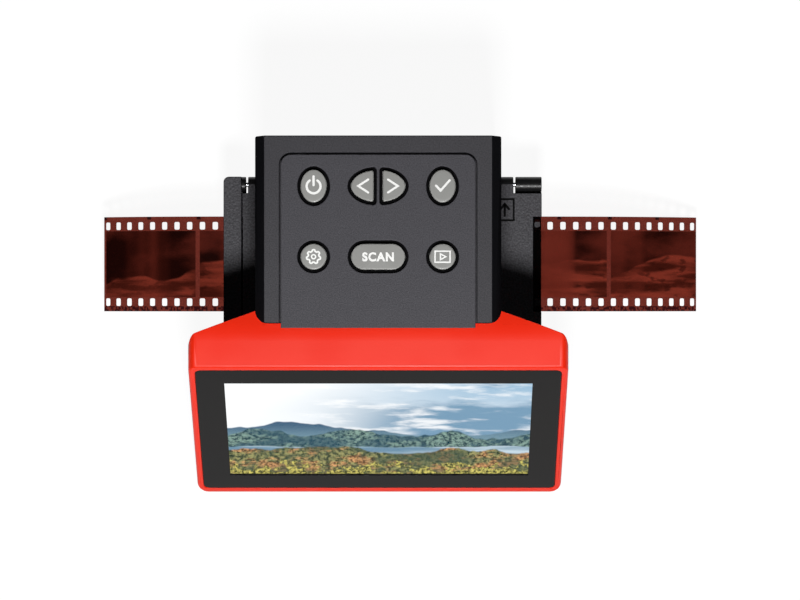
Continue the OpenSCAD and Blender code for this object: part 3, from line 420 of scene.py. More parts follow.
trees = ramp(tree, picture_noise(30.0, 0.9, 5.2, 8.0, 0.75), 0.4, 0.6)
wood = blended(tree, trees, paint(22, 58, 66), paint(132, 162, 150))
wood = dappled(wood, 9.1, paint(30, 74, 94))
scene_colour = blended(tree, below(ridge(3.1, 8.4, 0.34, 0.52), 0.01), scene_colour, wood)
ripples = ramp(tree, picture_noise(14.0, 14.0, 1.7), 0.35, 0.7)
lake = blended(tree, ripples, paint(104, 140, 164), paint(196, 214, 224))
scene_colour = blended(tree, below(ridge(5.0, 1.2, 0.28, 0.31), 0.006), scene_colour, lake)
grove = blended(tree, trees, paint(30, 50, 32), paint(154, 152, 96))
red_leaves = blended(tree, trees, paint(96, 58, 28), paint(226, 164, 108))
autumn = ramp(tree, picture_noise(7.0, 1.6, 4.6, 7.0, 0.7), 0.48, 0.6, 0, 0.85)
grove = blended(tree, autumn, grove, red_leaves)
grove = dappled(grove, 2.9, paint(58, 78, 58))
scene_colour = blended(tree, below(ridge(6.0, 6.6, 0.22, 0.3, 7.0), 0.01), scene_colour, grove)
leaf = ramp(tree, picture_noise(38.0, 0.8, 6.1, 8.0, 0.75), 0.42, 0.58)
bush = blended(tree, leaf, paint(42, 52, 22), paint(214, 202, 104))
low_down = calc(tree, "MULTIPLY", calc(tree, "SUBTRACT", 0.07, up), 1.6)
bushes = calc(tree, "ADD", picture_noise(9.0, 1.1, 3.4, 8.0, 0.7), low_down)
scene_colour = blended(tree, ramp(tree, bushes, 0.5, 0.54), scene_colour, bush)
feed(tree, scene_colour, shader["Emission Color"])
shader["Emission Strength"].default_value = 1.08

shape = bmesh.new()
bmesh.ops.create_cube(shape, size=1)
size = (PICTURE_W + PANEL_EXTRA, PICTURE_H + PANEL_EXTRA, PANEL_T)
for vert in shape.verts:
    vert.co = Vector(a * b for a, b in zip(vert.co, size)) + Vector((0, PICTURE_Y, PANEL_Z))
round_edges(shape, 0.15 * MM, 2)
places = []
for vert in shape.verts:
    places += [vert.co.x / PICTURE_W + 0.5, (vert.co.y - PICTURE_Y) / PICTURE_H + 0.5, 0]
shape.transform(SCREEN)
picture = finished("lit_panel", shape, made)
own = picture.data.attributes.new("picture", "FLOAT_VECTOR", "POINT")
own.data.foreach_set("vector", places)
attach(picture, "scanner")

# --- Key plate ---------------------------------------------------------------
# The dark grey plate let into the top of the body, with a ring-shaped recess round
# each key. Its face has the same spark texture, a shade lighter; the recesses and the walls
# below the face are smooth and painted black as painted shade.
PLATE_TOP = moulded("grey_spark_texture", paint(67, 66, 71), 0.42 * MM, 0.05 * MM, 0.5, 0.25, 0.34)
# The recesses and the walls under the plate's face are painted black as painted shade.
RECESS_PAINTED_SHADE = moulded("black_recess", paint(10, 10, 11), 0.6 * MM, 0.004 * MM, 0.6, 0.02, 0.1)
PLATE_RIM_Z, PLATE_FRONT_Y = 83.72 * MM, -22.8 * MM


def plate_shade_zone(face):
    """The face with its rounded rims and the front edge are textured; the rest is smooth and
    painted black as painted shade.
    """
    centre = face.calc_center_median()
    in_front = face.normal.y < -0.5 and centre.y < PLATE_FRONT_Y
    return 0 if centre.z > PLATE_RIM_Z or in_front else 1


shape = solid_of("control_plate")
round_edges(shape, 0.27 * MM)
plate = finished("key_plate", shape, PLATE_TOP, RECESS_PAINTED_SHADE, pick=plate_shade_zone)
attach(plate, "scanner")
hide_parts("control_plate")

# --- Keys --------------------------------------------------------------------
# Seven hard grey keys, each moulded with a flange and a stem that presses a switch.
# The tops are very slightly crowned with rounded rims; the white signs are moulded in.
KEY_TOP, KEY_RIM, KEY_SLACK = 84.7 * MM, 0.34 * MM, 0.01 * MM
KEY_SINK, KEY_CROWN, KEY_REACH = 0.02 * MM, 0.1 * MM, 6 * MM
KEY_GREY = moulded("key_grey_satin", paint(147, 147, 144), 0.35 * MM, 0.006 * MM, 0.33, 0.45, 0.05)
SIGN_WHITE, tree, shader = finish("sign_white", paint(238, 238, 234), Roughness=0.5)
ink = blended(tree, mottle(tree, 3000.0), paint(244, 244, 241), paint(252, 252, 250))
feed(tree, ink, shader["Base Color"])
SIGN_LOW, SIGN_HIGH = 84.45 * MM, 84.69 * MM
# The signs and the middles of their keys are in mm.
KEY_X, KEY_REAR_Y, KEY_FRONT_Y = 22.8, 27.0, 2.0


def slab(shape, outline, low=SIGN_LOW, high=SIGN_HIGH):
    """A flat solid with that outline of (x, y) points in mm, counter-clockwise."""
    rows = [[shape.verts.new((x * MM, y * MM, z)) for x, y in outline] for z in (low, high)]
    skin_between(shape, rows[0], rows[1])
    shape.faces.new(rows[1])
    shape.faces.new(rows[0][::-1])


def hoop(shape, outer, inner, low=SIGN_LOW, high=SIGN_HIGH):
    """A flat closed band between two outlines of as many points."""
    rows = [[shape.verts.new((x * MM, y * MM, z)) for x, y in line]
            for line, z in ((outer, low), (outer, high), (inner, high), (inner, low))]
    for first, second in zip(rows, rows[1:] + rows[:1]):
        skin_between(shape, first, second)


def offset_line(points, distance, closed):
    """points moved sideways by distance, with mitred corners."""
    moved, count = [], len(points)
    for i, (x, y) in enumerate(points):
        before = points[i - 1] if closed or i else points[i]
        after = points[(i + 1) % count] if closed or i < count - 1 else points[i]
        sides = []
        for (ax, ay), (bx, by) in ((before, (x, y)), ((x, y), after)):
            length = math.hypot(bx - ax, by - ay)
            if length > 1e-9:
                sides.append(Vector((ay - by, bx - ax)) / length)
        middle = sum(sides, Vector((0, 0))).normalized()
        reach = distance / max(0.35, middle.dot(sides[0]))
        moved.append((x + middle.x * reach, y + middle.y * reach))
    return moved


def stroke(shape, points, width, closed=False, **heights):
    """A line of that width through points, as moulded into a key or a cover."""
    left, right = (offset_line(points, side * width / 2, closed) for side in (1, -1))
    if closed:
        hoop(shape, right, left, **heights)
        return
    ends = []
    for (x, y), (px, py) in ((points[-1], points[-2]), (points[0], points[1])):
        start = math.atan2(y - py, x - px) - math.pi / 2
        turns = [start + k * math.pi / 6 for k in range(1, 6)]
        ends.append([(x + width / 2 * math.cos(t), y + width / 2 * math.sin(t)) for t in turns])
    slab(shape, right + ends[0] + left[::-1] + ends[1], **heights)


def as_mesh(made):
    """A new mesh with the shape that an object has in the scene."""
    graph = bpy.context.evaluated_depsgraph_get()
    return bpy.data.meshes.new_from_object(made.evaluated_get(graph))


def letters(shape, text, centre, width, height, weight, spacing):
    """A word in plain capitals, fitted to that width and height."""
    curve = bpy.data.curves.new("word", "FONT")
    curve.body, curve.offset, curve.extrude, curve.space_character = text, weight, 0.5, spacing
    typed = added("word", curve)
    mesh = as_mesh(typed)
    points = [v.co for v in mesh.vertices]
    x0, x1 = min(p.x for p in points), max(p.x for p in points)
    y0, y1 = min(p.y for p in points), max(p.y for p in points)
    for vert in mesh.vertices:
        vert.co = ((centre[0] + ((vert.co.x - x0) / (x1 - x0) - 0.5) * width) * MM,
                   (centre[1] + ((vert.co.y - y0) / (y1 - y0) - 0.5) * height) * MM,
                   SIGN_LOW + (vert.co.z + 0.5) * (SIGN_HIGH - SIGN_LOW))
    shape.from_mesh(mesh)
    bpy.data.objects.remove(typed)
    bpy.data.meshes.remove(mesh)


def circle(x, y, radius, start=0.0, end=360.0, steps=36):
    """Points round a circle, or along an arc with both its ends."""
    count = steps if end - start == 360 else steps + 1
    turns = [math.radians(start + (end - start) * k / steps) for k in range(count)]
    return [(x + radius * math.cos(t), y + radius * math.sin(t)) for t in turns]


def power_sign(shape, x, y):
    stroke(shape, circle(x, y - 0.1, 2.45, 124, 416), 0.84)
    stroke(shape, [(x, y + 3.4), (x, y + 0.3)], 0.84)


def left_sign(shape, x, y):
    stroke(shape, [(x - 3.5, y + 2.3), (x - 7.0, y), (x - 3.5, y - 2.3)], 0.76)


def right_sign(shape, x, y):
    stroke(shape, [(x + 3.5, y - 2.3), (x + 7.0, y), (x + 3.5, y + 2.3)], 0.76)


def ok_sign(shape, x, y):
    stroke(shape, [(x - 2.3, y + 0.1), (x - 0.7, y - 1.6), (x + 2.5, y + 2.0)], 0.8)


def settings_sign(shape, x, y):
    outline = []
    for turn in (math.radians(a) for a in range(355, -5, -5)):
        radius = 2.2 + 0.3 * math.tanh(2.2 * math.cos(7 * turn))
        outline.append((x + radius * math.sin(turn), y + radius * math.cos(turn)))
    stroke(shape, outline, 0.6, closed=True)
    stroke(shape, circle(x, y, 0.72), 0.5, closed=True)


def scan_sign(shape, x, y):
    letters(shape, "SCAN", (x, y - 0.05), 11.2, 3.3, 0.045, 1.15)


def playback_sign(shape, x, y):
    stroke(shape, [(x + a, y + b) for a, b in box_corners(5.3, 3.9, 0)], 0.52, closed=True)
    stroke(shape, [(x - 0.75, y + 1.0), (x - 0.75, y - 1.0), (x + 1.2, y)], 0.48, closed=True)


def marked(name, shape, made):
    """The object made of the strokes in shape."""
    bmesh.ops.remove_doubles(shape, verts=shape.verts, dist=1e-6)
    bmesh.ops.recalc_face_normals(shape, faces=shape.faces)
    return finished(name, shape, made, smooth_to=30)


def on_top(edge):
    """Whether an edge is a rim of a key's top."""
    return min(v.co.z for v in edge.verts) > KEY_TOP - KEY_SLACK


KEY_SIGNS = {"power": (-KEY_X, KEY_REAR_Y, power_sign),
             "left": (0, KEY_REAR_Y, left_sign),
             "right": (0, KEY_REAR_Y, right_sign),
             "ok": (KEY_X, KEY_REAR_Y, ok_sign),
             "settings": (-KEY_X, KEY_FRONT_Y, settings_sign),
             "capture": (0, KEY_FRONT_Y, scan_sign),
             "playback": (KEY_X, KEY_FRONT_Y, playback_sign)}
for key, (x, y, sign) in KEY_SIGNS.items():
    node = "key_" + key
    shape = solid_of(node)
    round_edges(shape, KEY_RIM, 4, 60, on_top)
    top = max(shape.faces, key=lambda f: (round(f.calc_center_median().z, 5), f.calc_area()))
    middle = top.calc_center_median()
    loops = [list(top.verts)]
    bmesh.ops.delete(shape, geom=[top], context="FACES_ONLY")
    for reach in (0.85, 0.65, 0.4, 0.2):
        loops.append([shape.verts.new(middle.lerp(v.co, reach)) for v in loops[0]])
        skin_between(shape, loops[-2], loops[-1])
    shape.faces.new(loops[-1])
    for vert in shape.verts:
        if vert.co.z > KEY_TOP - KEY_RIM - KEY_SLACK:
            away = min(1, (vert.co - middle).length / KEY_REACH)
            vert.co.z -= KEY_SINK + KEY_CROWN * away * away
    cap = finished(node + "_cap", shape, KEY_GREY, smooth_to=50)
    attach(cap, node)
    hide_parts(node)
    shape = bmesh.new()
    sign(shape, x, y)
    mark = marked(node + "_sign", shape, SIGN_WHITE)
    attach(mark, node)

# --- Film holder -------------------------------------------------------------
# Two long black mouldings hinged at the rear on a steel pin and held shut by magnets.
# Their faces have a coarse spark texture, and the hinge barrels are polished. A framed
# arrow is moulded on the cover; its low ridges are painted near-black as the painted shade of
# engraved lines.
HOLDER_TOP = moulded("black_coarse_texture", paint(63, 62, 66), 0.7 * MM, 0.09 * MM, 0.48, 0.3, 0.5)
BARREL_BLACK = moulded("black_polished_barrel", paint(20, 20, 21), 0.8 * MM, 0.003 * MM, 0.36,
                       0.3, 0.1)
MARK_PAINTED_SHADE = moulded("black_moulded_mark", paint(9, 9, 10), 0.4 * MM, 0.01 * MM, 0.6, 0.05, 0.1)
HINGE_Y, HINGE_Z, HINGE_R = 29.25 * MM, 26.55 * MM, 2.85 * MM


def holder_zone(face):
    """Hinge barrels are polished, sides smooth and painted near-black as painted shade, level faces
    textured.
    """
    centre = face.calc_center_median()
    away = math.hypot(centre.y - HINGE_Y, centre.z - HINGE_Z)
    if centre.y > HINGE_Y - 3.1 * MM and away < HINGE_R + 0.3 * MM and abs(face.normal.x) < 0.9:
        return 1
    return 0 if abs(face.normal.z) > 0.9 else 2


HALVES = {"holder_base": ("holder", "holder_lower_half"), "holder_lid": ("lid", "holder_cover")}
for node, (body, name) in HALVES.items():
    shape = solid_of(node)
    round_edges(shape, 0.25 * MM)
    # The sides take the near-black side material, which is painted shade.
    half = finished(name, shape, HOLDER_TOP, BARREL_BLACK, BLACK_SIDE_PAINTED_SHADE, pick=holder_zone)
    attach(half, body)
    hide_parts(node)

# The mark's near-black colour is painted shade standing in for engraved grooves.
LID_TOP = 29.4 * MM
shape = bmesh.new()
heights = {"low": LID_TOP - 0.2 * MM, "high": LID_TOP + 0.1 * MM}
stroke(shape, [(37.6, 16.0), (49.6, 16.0), (49.6, 23.8), (37.6, 23.8)], 0.7, closed=True, **heights)
stroke(shape, [(46.3, 17.7), (46.3, 21.6)], 0.85, **heights)
stroke(shape, [(44.8, 20.2), (46.3, 22.0), (47.8, 20.2)], 0.85, **heights)
label = marked("holder_cover_mark", shape, MARK_PAINTED_SHADE)
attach(label, "lid")

# --- Film strip --------------------------------------------------------------
# A strip of 35 mm colour negatives, six frames of eight perforations each. It lies flat
# in the holder and bends down at both free ends. The film base is orange-brown; the
# frames are dense negatives, and the borders carry dark edge marks.
PITCH, FILM_W, FILM_T, FILM_Z = 4.75 * MM, 35 * MM, 0.14 * MM, 26 * MM
STRIP_MIDDLE, STRIP_L, HOLES = 8.5 * MM, 227 * MM, 48
FLAT_LEFT, FLAT_RIGHT, DROOP = -62 * MM, 63 * MM, math.radians(35.5)
HOLE_Y, HOLE_L, HOLE_W, HOLE_R = 14.09 * MM, 1.98 * MM, 2.8 * MM, 0.5 * MM
HOLE_MARGIN = 0.4 * MM
STRIP_LEFT, STRIP_RIGHT = STRIP_MIDDLE - STRIP_L / 2, STRIP_MIDDLE + STRIP_L / 2


def film_cell():
    """One pitch of the strip, flat, with its two perforations."""
    shape = bmesh.new()
    half = PITCH / 2
    for side in (1, -1):
        corners = box_corners(PITCH, HOLE_W + 2 * HOLE_MARGIN, side * HOLE_Y)
        outer = [shape.verts.new((*p, 0)) for p in corners]
        hole = corner_arcs(box_corners(HOLE_L, HOLE_W, side * HOLE_Y), HOLE_R, 3)
        ring_faces(shape, outer, [[shape.verts.new((*p, 0)) for p in arc] for arc in hole])
    reach = HOLE_W / 2 + HOLE_MARGIN
    edge, far, near = FILM_W / 2, HOLE_Y + reach, HOLE_Y - reach
    for y0, y1 in ((edge, far), (near, -near), (-far, -edge)):
        corners = ((-half, y0), (-half, y1), (half, y1), (half, y0))
        shape.faces.new([shape.verts.new((*p, 0)) for p in corners])
    bmesh.ops.remove_doubles(shape, verts=shape.verts, dist=1e-7)
    bmesh.ops.recalc_face_normals(shape, faces=shape.faces)
    if sum(f.normal.z for f in shape.faces) < 0:
        bmesh.ops.reverse_faces(shape, faces=shape.faces)
    mesh = bpy.data.meshes.new("film cell")
    shape.to_mesh(mesh)
    shape.free()
    return mesh


def strip_tree():
    """Geometry Nodes: cells in a row, joined, and bent down past the ends of the flat part."""
    tree = bpy.data.node_groups.new("perforated strip", "GeometryNodeTree")
    tree.interface.new_socket("Cell", in_out="INPUT", socket_type="NodeSocketGeometry")
    for label in ("Pitch", "First", "Left End", "Right End", "Flat Left", "Flat Right",
                  "Left Radius", "Right Radius", "Height"):
        tree.interface.new_socket(label, in_out="INPUT", socket_type="NodeSocketFloat")
    tree.interface.new_socket("Count", in_out="INPUT", socket_type="NodeSocketInt")
    tree.interface.new_socket("Film", in_out="INPUT", socket_type="NodeSocketMaterial")
    tree.interface.new_socket("Strip", in_out="OUTPUT", socket_type="NodeSocketGeometry")
    given = tree.nodes.new("NodeGroupInput").outputs
    first = place(tree, "ShaderNodeCombineXYZ", {"X": given["First"]}).outputs[0]
    step = place(tree, "ShaderNodeCombineXYZ", {"X": given["Pitch"]}).outputs[0]
    row = place(tree, "GeometryNodeMeshLine",
                {"Count": given["Count"], "Start Location": first, "Offset": step})
    cells = place(tree, "GeometryNodeInstanceOnPoints",
                  {"Points": row.outputs[0], "Instance": given["Cell"]})
    real = place(tree, "GeometryNodeRealizeInstances", {0: cells.outputs[0]})
    joined = place(tree, "GeometryNodeMergeByDistance", {0: real.outputs[0], "Distance": 1e-6})
    where = tree.nodes.new("GeometryNodeInputPosition").outputs[0]
    split = place(tree, "ShaderNodeSeparateXYZ", {0: where})
    along = calc(tree, "MAXIMUM", split.outputs["X"], given["Left End"])
    along = calc(tree, "MINIMUM", along, given["Right End"])
    flat = place(tree, "ShaderNodeCombineXYZ", {"X": along, "Y": split.outputs["Y"]}).outputs[0]
    kept = place(tree, "GeometryNodeStoreNamedAttribute",
                 {0: joined.outputs[0], "Name": "flat", "Value": flat},
                 data_type="FLOAT_VECTOR", domain="POINT")
    x = calc(tree, "MAXIMUM", along, given["Flat Left"])
    x = calc(tree, "MINIMUM", x, given["Flat Right"])
    z = given["Height"]
    past_left = calc(tree, "SUBTRACT", given["Flat Left"], along)
    past_right = calc(tree, "SUBTRACT", along, given["Flat Right"])
    for past, radius, side in ((past_left, given["Left Radius"], -1.0),
                               (past_right, given["Right Radius"], 1.0)):
        turn = calc(tree, "DIVIDE", calc(tree, "MAXIMUM", past, 0.0), radius)
        reach = calc(tree, "MULTIPLY", calc(tree, "SINE", turn), radius)
        x = calc(tree, "ADD", x, calc(tree, "MULTIPLY", reach, side))
        sunk = calc(tree, "SUBTRACT", 1.0, calc(tree, "COSINE", turn))
        z = calc(tree, "SUBTRACT", z, calc(tree, "MULTIPLY", sunk, radius))
    bent = place(tree, "ShaderNodeCombineXYZ", {"X": x, "Y": split.outputs["Y"], "Z": z}).outputs[0]
    moved = place(tree, "GeometryNodeSetPosition", {0: kept.outputs[0], "Position": bent})
    made = place(tree, "GeometryNodeSetMaterial", {0: moved.outputs[0], "Material": given["Film"]})
    result = tree.nodes.new("NodeGroupOutput")
    tree.links.new(made.outputs[0], result.inputs[0])
    return tree


def grown(name, start, tree, thickness, **inputs):
    """The plain mesh object that a Geometry Nodes tree makes of start, given that thickness."""
    made = added(name, start)
    builder = made.modifiers.new("builder", "NODES")
    builder.node_group = tree
    for item in tree.interface.items_tree:
        label = item.name.replace(" ", "_")
        if item.in_out == "INPUT" and label in inputs:
            builder[item.identifier] = inputs[label]
    thick = made.modifiers.new("thickness", "SOLIDIFY")
    thick.thickness, thick.offset = thickness, 0
    mesh = as_mesh(made)
    made.modifiers.clear()
    made.data = mesh
    mesh.name = name
    smooth(mesh)
    return made


# Places on the strip are in mm, along it and across it.
FRAME_PITCH, FRAME_START, FRAME_HALF_L, FRAME_HALF_W, FRAME_SOFT = 38.0, 9.1, 18.1, 12.1, 0.25
CODE_Y, TICK_Y, TICK_PITCH, MARK_SOFT = -15.7, 16.35, 19.0, 0.15
FILM, tree, shader = finish("colour_negative", paint(118, 48, 38), Roughness=0.12,
                            Specular_Level=0.3, IOR=1.48)
shader["Transmission Weight"].default_value = 1.0
spot = place(tree, "ShaderNodeAttribute", attribute_name="flat").outputs["Vector"]
in_mm = place(tree, "ShaderNodeVectorMath", {0: spot, 1: (1000, 1000, 1000)},
              operation="MULTIPLY").outputs[0]
split = place(tree, "ShaderNodeSeparateXYZ", {0: in_mm})
along, across = split.outputs["X"], split.outputs["Y"]


def from_middle(pitch, start=0.0):
    """How far a place is from the middle of its own stretch of the strip, in pitches."""
    turns = calc(tree, "DIVIDE", calc(tree, "SUBTRACT", along, start), pitch)
    return calc(tree, "ABSOLUTE", calc(tree, "SUBTRACT", calc(tree, "FRACT", turns), 0.5))


from_start = calc(tree, "SUBTRACT", along, FRAME_START)
number = calc(tree, "FLOOR", calc(tree, "DIVIDE", from_start, FRAME_PITCH))
inside = calc(tree, "MULTIPLY", from_middle(FRAME_PITCH, FRAME_START), FRAME_PITCH)
in_length = ramp(tree, inside, FRAME_HALF_L, FRAME_HALF_L + FRAME_SOFT, 1, 0)
distance = calc(tree, "ABSOLUTE", across)
in_width = ramp(tree, distance, FRAME_HALF_W, FRAME_HALF_W + FRAME_SOFT, 1, 0)
frame_area = calc(tree, "MULTIPLY", in_length, in_width)


def film_noise(scale, sideways, extra=0.0, detail=2.0, tall=1.0):
    """Noise over the strip, different in each frame."""
    seed = calc(tree, "ADD", calc(tree, "MULTIPLY", number, 7.31), extra)
    x, y = calc(tree, "DIVIDE", along, sideways), calc(tree, "DIVIDE", across, tall)
    vector = place(tree, "ShaderNodeCombineXYZ", {"X": x, "Y": y, "Z": seed})
    return noise(tree, vector.outputs[0], scale, detail)


base_tone = blended(tree, film_noise(0.5, 1.0, 3.0, 4.0), paint(104, 38, 29), paint(134, 62, 51))
horizon = ramp(tree, film_noise(0.04, 2.5, 1.0, 4.0, 1000.0), 0.3, 0.7, -9, 4)
clouded = ramp(tree, film_noise(0.07, 1.8, 5.0, 4.0), 0.42, 0.72)
sky = blended(tree, clouded, paint(27, 6, 4), paint(84, 30, 22))
streak = ramp(tree, film_noise(0.3, 6.0, 9.0, 4.0), 0.36, 0.66)
land = blended(tree, streak, paint(62, 20, 13), paint(124, 48, 35))
clump = ramp(tree, film_noise(0.42, 2.6, 2.0, 5.0), 0.54, 0.66, 0, 0.7)
land = blended(tree, clump, land, paint(48, 14, 9))
below_horizon = ramp(tree, calc(tree, "SUBTRACT", horizon, across), -0.4, 0.5)
negative = blended(tree, below_horizon, sky, land)
bright = ramp(tree, film_noise(0.05, 1.0, 4.0, 2.0, 1000.0), 0.5, 0.68, 0, 0.7)
negative = blended(tree, bright, negative, paint(114, 42, 31))
speck = noise(tree, in_mm, 2.2, 3.0)
edge_tone = blended(tree, ramp(tree, speck, 0.35, 0.65, 0, 0.6), base_tone, paint(84, 34, 28))
bar = place(tree, "ShaderNodeVectorMath", {0: in_mm, 1: (0.55, 0.8, 50.0)}, operation="SNAP")
bars = place(tree, "ShaderNodeTexWhiteNoise", {"Vector": bar.outputs[0]}).outputs["Value"]
code = calc(tree, "MULTIPLY", ramp(tree, across, CODE_Y, CODE_Y + MARK_SOFT, 1, 0),
            ramp(tree, bars, 0.4, 0.45))
tick = calc(tree, "MULTIPLY", ramp(tree, across, TICK_Y, TICK_Y + MARK_SOFT),
            ramp(tree, from_middle(TICK_PITCH), 0.035, 0.045, 1, 0))
edge_tone = blended(tree, calc(tree, "MULTIPLY", code, 0.85), edge_tone, paint(34, 6, 14))
edge_tone = blended(tree, calc(tree, "MULTIPLY", tick, 0.9), edge_tone, paint(28, 8, 12))
feed(tree, blended(tree, frame_area, edge_tone, negative), shader["Base Color"])
feed(tree, ramp(tree, speck, 0.3, 0.7, 0.1, 0.15), shader["Roughness"])
raised(tree, shader, frame_area, 0.01 * MM)

strip = grown("negative_strip", film_cell(), strip_tree(), FILM_T, Count=HOLES, Pitch=PITCH,
              First=STRIP_MIDDLE - (HOLES - 1) / 2 * PITCH, Height=FILM_Z, Film=FILM,
              Left_End=STRIP_LEFT, Right_End=STRIP_RIGHT,
              Flat_Left=FLAT_LEFT, Flat_Right=FLAT_RIGHT,
              Left_Radius=(FLAT_LEFT - STRIP_LEFT) / DROOP,
              Right_Radius=(STRIP_RIGHT - FLAT_RIGHT) / DROOP)
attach(strip, "film")
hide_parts("film_strip")

# --- Boards ------------------------------------------------------------------
# Five circuit boards in green solder mask, hidden in the housings: copper tracks show
# through it as paler lines, with gold pads. The screen's board is tilted with the screen.
def dressed(made, *nodes):
    """Gives CAD nodes that keep their shape a new material."""
    for node in nodes:
        for slot in cad[node].material_slots:
            slot.material = made


def board(name, tilt=0.0):
    """Solder mask with tracks and pads, on a board turned by tilt about X."""
    made, tree, shader = finish(name, paint(22, 92, 52), Roughness=0.35, Specular_Level=0.5)
    level = place(tree, "ShaderNodeMapping", {"Vector": here(tree), "Rotation": (tilt, 0, 0),
                                              "Scale": (1000, 1000, 1000)}).outputs[0]
    cell = place(tree, "ShaderNodeVectorMath", {0: level, 1: (6, 5, 50)}, operation="SNAP")
    turned = place(tree, "ShaderNodeTexWhiteNoise", {"Vector": cell.outputs[0]}).outputs["Value"]
    split = place(tree, "ShaderNodeSeparateXYZ", {0: level})
    lines = [calc(tree, "PINGPONG", split.outputs[axis], 0.6) for axis in ("X", "Y")]
    chosen = calc(tree, "GREATER_THAN", turned, 0.5)
    line = calc(tree, "ADD", calc(tree, "MULTIPLY", chosen, lines[0]),
                calc(tree, "MULTIPLY", calc(tree, "SUBTRACT", 1.0, chosen), lines[1]))
    track = ramp(tree, line, 0.2, 0.26, 1, 0)
    dots = place(tree, "ShaderNodeTexVoronoi", {"Vector": level, "Scale": 0.28}).outputs["Distance"]
    pad = ramp(tree, dots, 0.13, 0.16, 1, 0)
    mask = blended(tree, track, paint(20, 84, 48), paint(46, 128, 76))
    feed(tree, blended(tree, pad, mask, paint(212, 176, 92)), shader["Base Color"])
    feed(tree, pad, shader["Metallic"])
    raised(tree, shader, calc(tree, "MAXIMUM", track, pad), 0.03 * MM)
    return made


dressed(board("green_board"), "key_board", "sensor_board", "backlight_board", "port_board")
dressed(board("green_board_tilted", -TILT), "main_board")

# --- Metal parts -------------------------------------------------------------
# Zinc-plated screws, the stamped display bracket, socket shells, the hinge pin, nickel
# magnets and brass posts. Each has its plating's colour and drawn or rolled marks.
def plated(name, pale, dark, roughness, marks, stretch, depth):
    """Plated or drawn metal with fine marks of that depth, drawn out where stretch is small."""
    made, tree, shader = finish(name, pale, Metallic=1.0)
    drawn = place(tree, "ShaderNodeMapping", {"Vector": here(tree), "Scale": stretch})
    wear = noise(tree, drawn.outputs[0], marks, 5.0)
    feed(tree, blended(tree, ramp(tree, wear, 0.3, 0.7), dark, pale), shader["Base Color"])
    feed(tree, ramp(tree, wear, 0.3, 0.7, roughness + 0.12, roughness), shader["Roughness"])
    raised(tree, shader, wear, depth)
    return made


dressed(plated("zinc_screw", paint(206, 208, 212), paint(150, 152, 158), 0.28, 1800, (1, 1, 1),
               0.01 * MM),
        "key_board_screws", "display_cover_screws", "display_mount_screws", "guide_plate_screws",
        "light_box_screws", "port_board_screws", "housing_screws")
dressed(plated("rolled_sheet", paint(196, 199, 202), paint(160, 163, 168), 0.32, 700,
               (0.08, 1, 1), 0.006 * MM), "display_bracket")
dressed(plated("socket_shell", paint(205, 207, 208), paint(160, 162, 164), 0.25, 1500,
               (1, 0.1, 1), 0.005 * MM), "usb_port", "video_port", "card_slot")
dressed(plated("ground_pin", paint(190, 192, 196), paint(140, 142, 148), 0.2, 2200,
               (0.02, 1, 1), 0.004 * MM), "hinge_pin")
dressed(plated("nickel_magnet", paint(198, 194, 184), paint(168, 164, 154), 0.18, 900,
               (1, 1, 1), 0.003 * MM), "base_magnets", "lid_magnets")
dressed(plated("turned_brass", paint(214, 176, 96), paint(170, 132, 66), 0.25, 1600,
               (1, 1, 8), 0.006 * MM), "camera_posts")

# The key switches: a black body under a steel cover, with a pale push button on top.
SWITCH_COVER_Z, SWITCH_BUTTON_Z = 77.2 * MM, 77.7 * MM


def own_place(tree):
    """Where a point of the piece is: its X, Y and Z."""
    return place(tree, "ShaderNodeSeparateXYZ", {0: here(tree)}).outputs


made, tree, shader = finish("tact_switch", paint(60, 60, 62), Roughness=0.4)
z = own_place(tree)["Z"]
button = calc(tree, "GREATER_THAN", z, SWITCH_BUTTON_Z)
cover = calc(tree, "SUBTRACT", calc(tree, "GREATER_THAN", z, SWITCH_COVER_Z), button)
body = blended(tree, cover, paint(30, 30, 32), paint(190, 192, 194))
pale = blended(tree, mottle(tree, 2500.0), paint(206, 202, 190), paint(226, 222, 212))
feed(tree, blended(tree, button, body, pale), shader["Base Color"])
feed(tree, cover, shader["Metallic"])
dressed(made, "key_switches")

# --- Camera, backlight and display module ------------------------------------
# Matt black mouldings round the camera, the coated lens, the sensor chip, white light-box
# parts with warm LEDs, the metal-backed display module and amber flat cables.
made = moulded("black_matt_inner", paint(24, 24, 25), 0.5 * MM, 0.02 * MM, 0.75, 0.15, 0.15)
dressed(made, "guide_plate", "light_shroud", "lens_barrel", "lens_mount")

made, tree, shader = finish("coated_lens", (1, 1, 1, 1), Roughness=0.01, Specular_Level=0.6,
                            IOR=1.52)
shader["Transmission Weight"].default_value = 1.0
coating = blended(tree, mottle(tree, 120.0, 3.0), paint(226, 240, 255), paint(240, 232, 255))
feed(tree, coating, shader["Base Color"])
dressed(made, "lens_glass")

ARRAY_HALF_L, ARRAY_HALF_W, ARRAY_SOFT = 2.8 * MM, 2.0 * MM, 0.1 * MM
made, tree, shader = finish("sensor_chip", paint(40, 42, 46), Roughness=0.25, Specular_Level=0.6)
cells = place(tree, "ShaderNodeTexChecker", {"Vector": here(tree), "Scale": 6000.0}).outputs["Fac"]
split = own_place(tree)
away_x, away_y = (calc(tree, "ABSOLUTE", split[axis]) for axis in ("X", "Y"))
window = calc(tree, "MULTIPLY", ramp(tree, away_x, ARRAY_HALF_L, ARRAY_HALF_L + ARRAY_SOFT, 1, 0),
              ramp(tree, away_y, ARRAY_HALF_W, ARRAY_HALF_W + ARRAY_SOFT, 1, 0))
array = blended(tree, cells, paint(48, 40, 70), paint(66, 58, 96))
feed(tree, blended(tree, window, paint(34, 34, 36), array), shader["Base Color"])
dressed(made, "image_sensor")

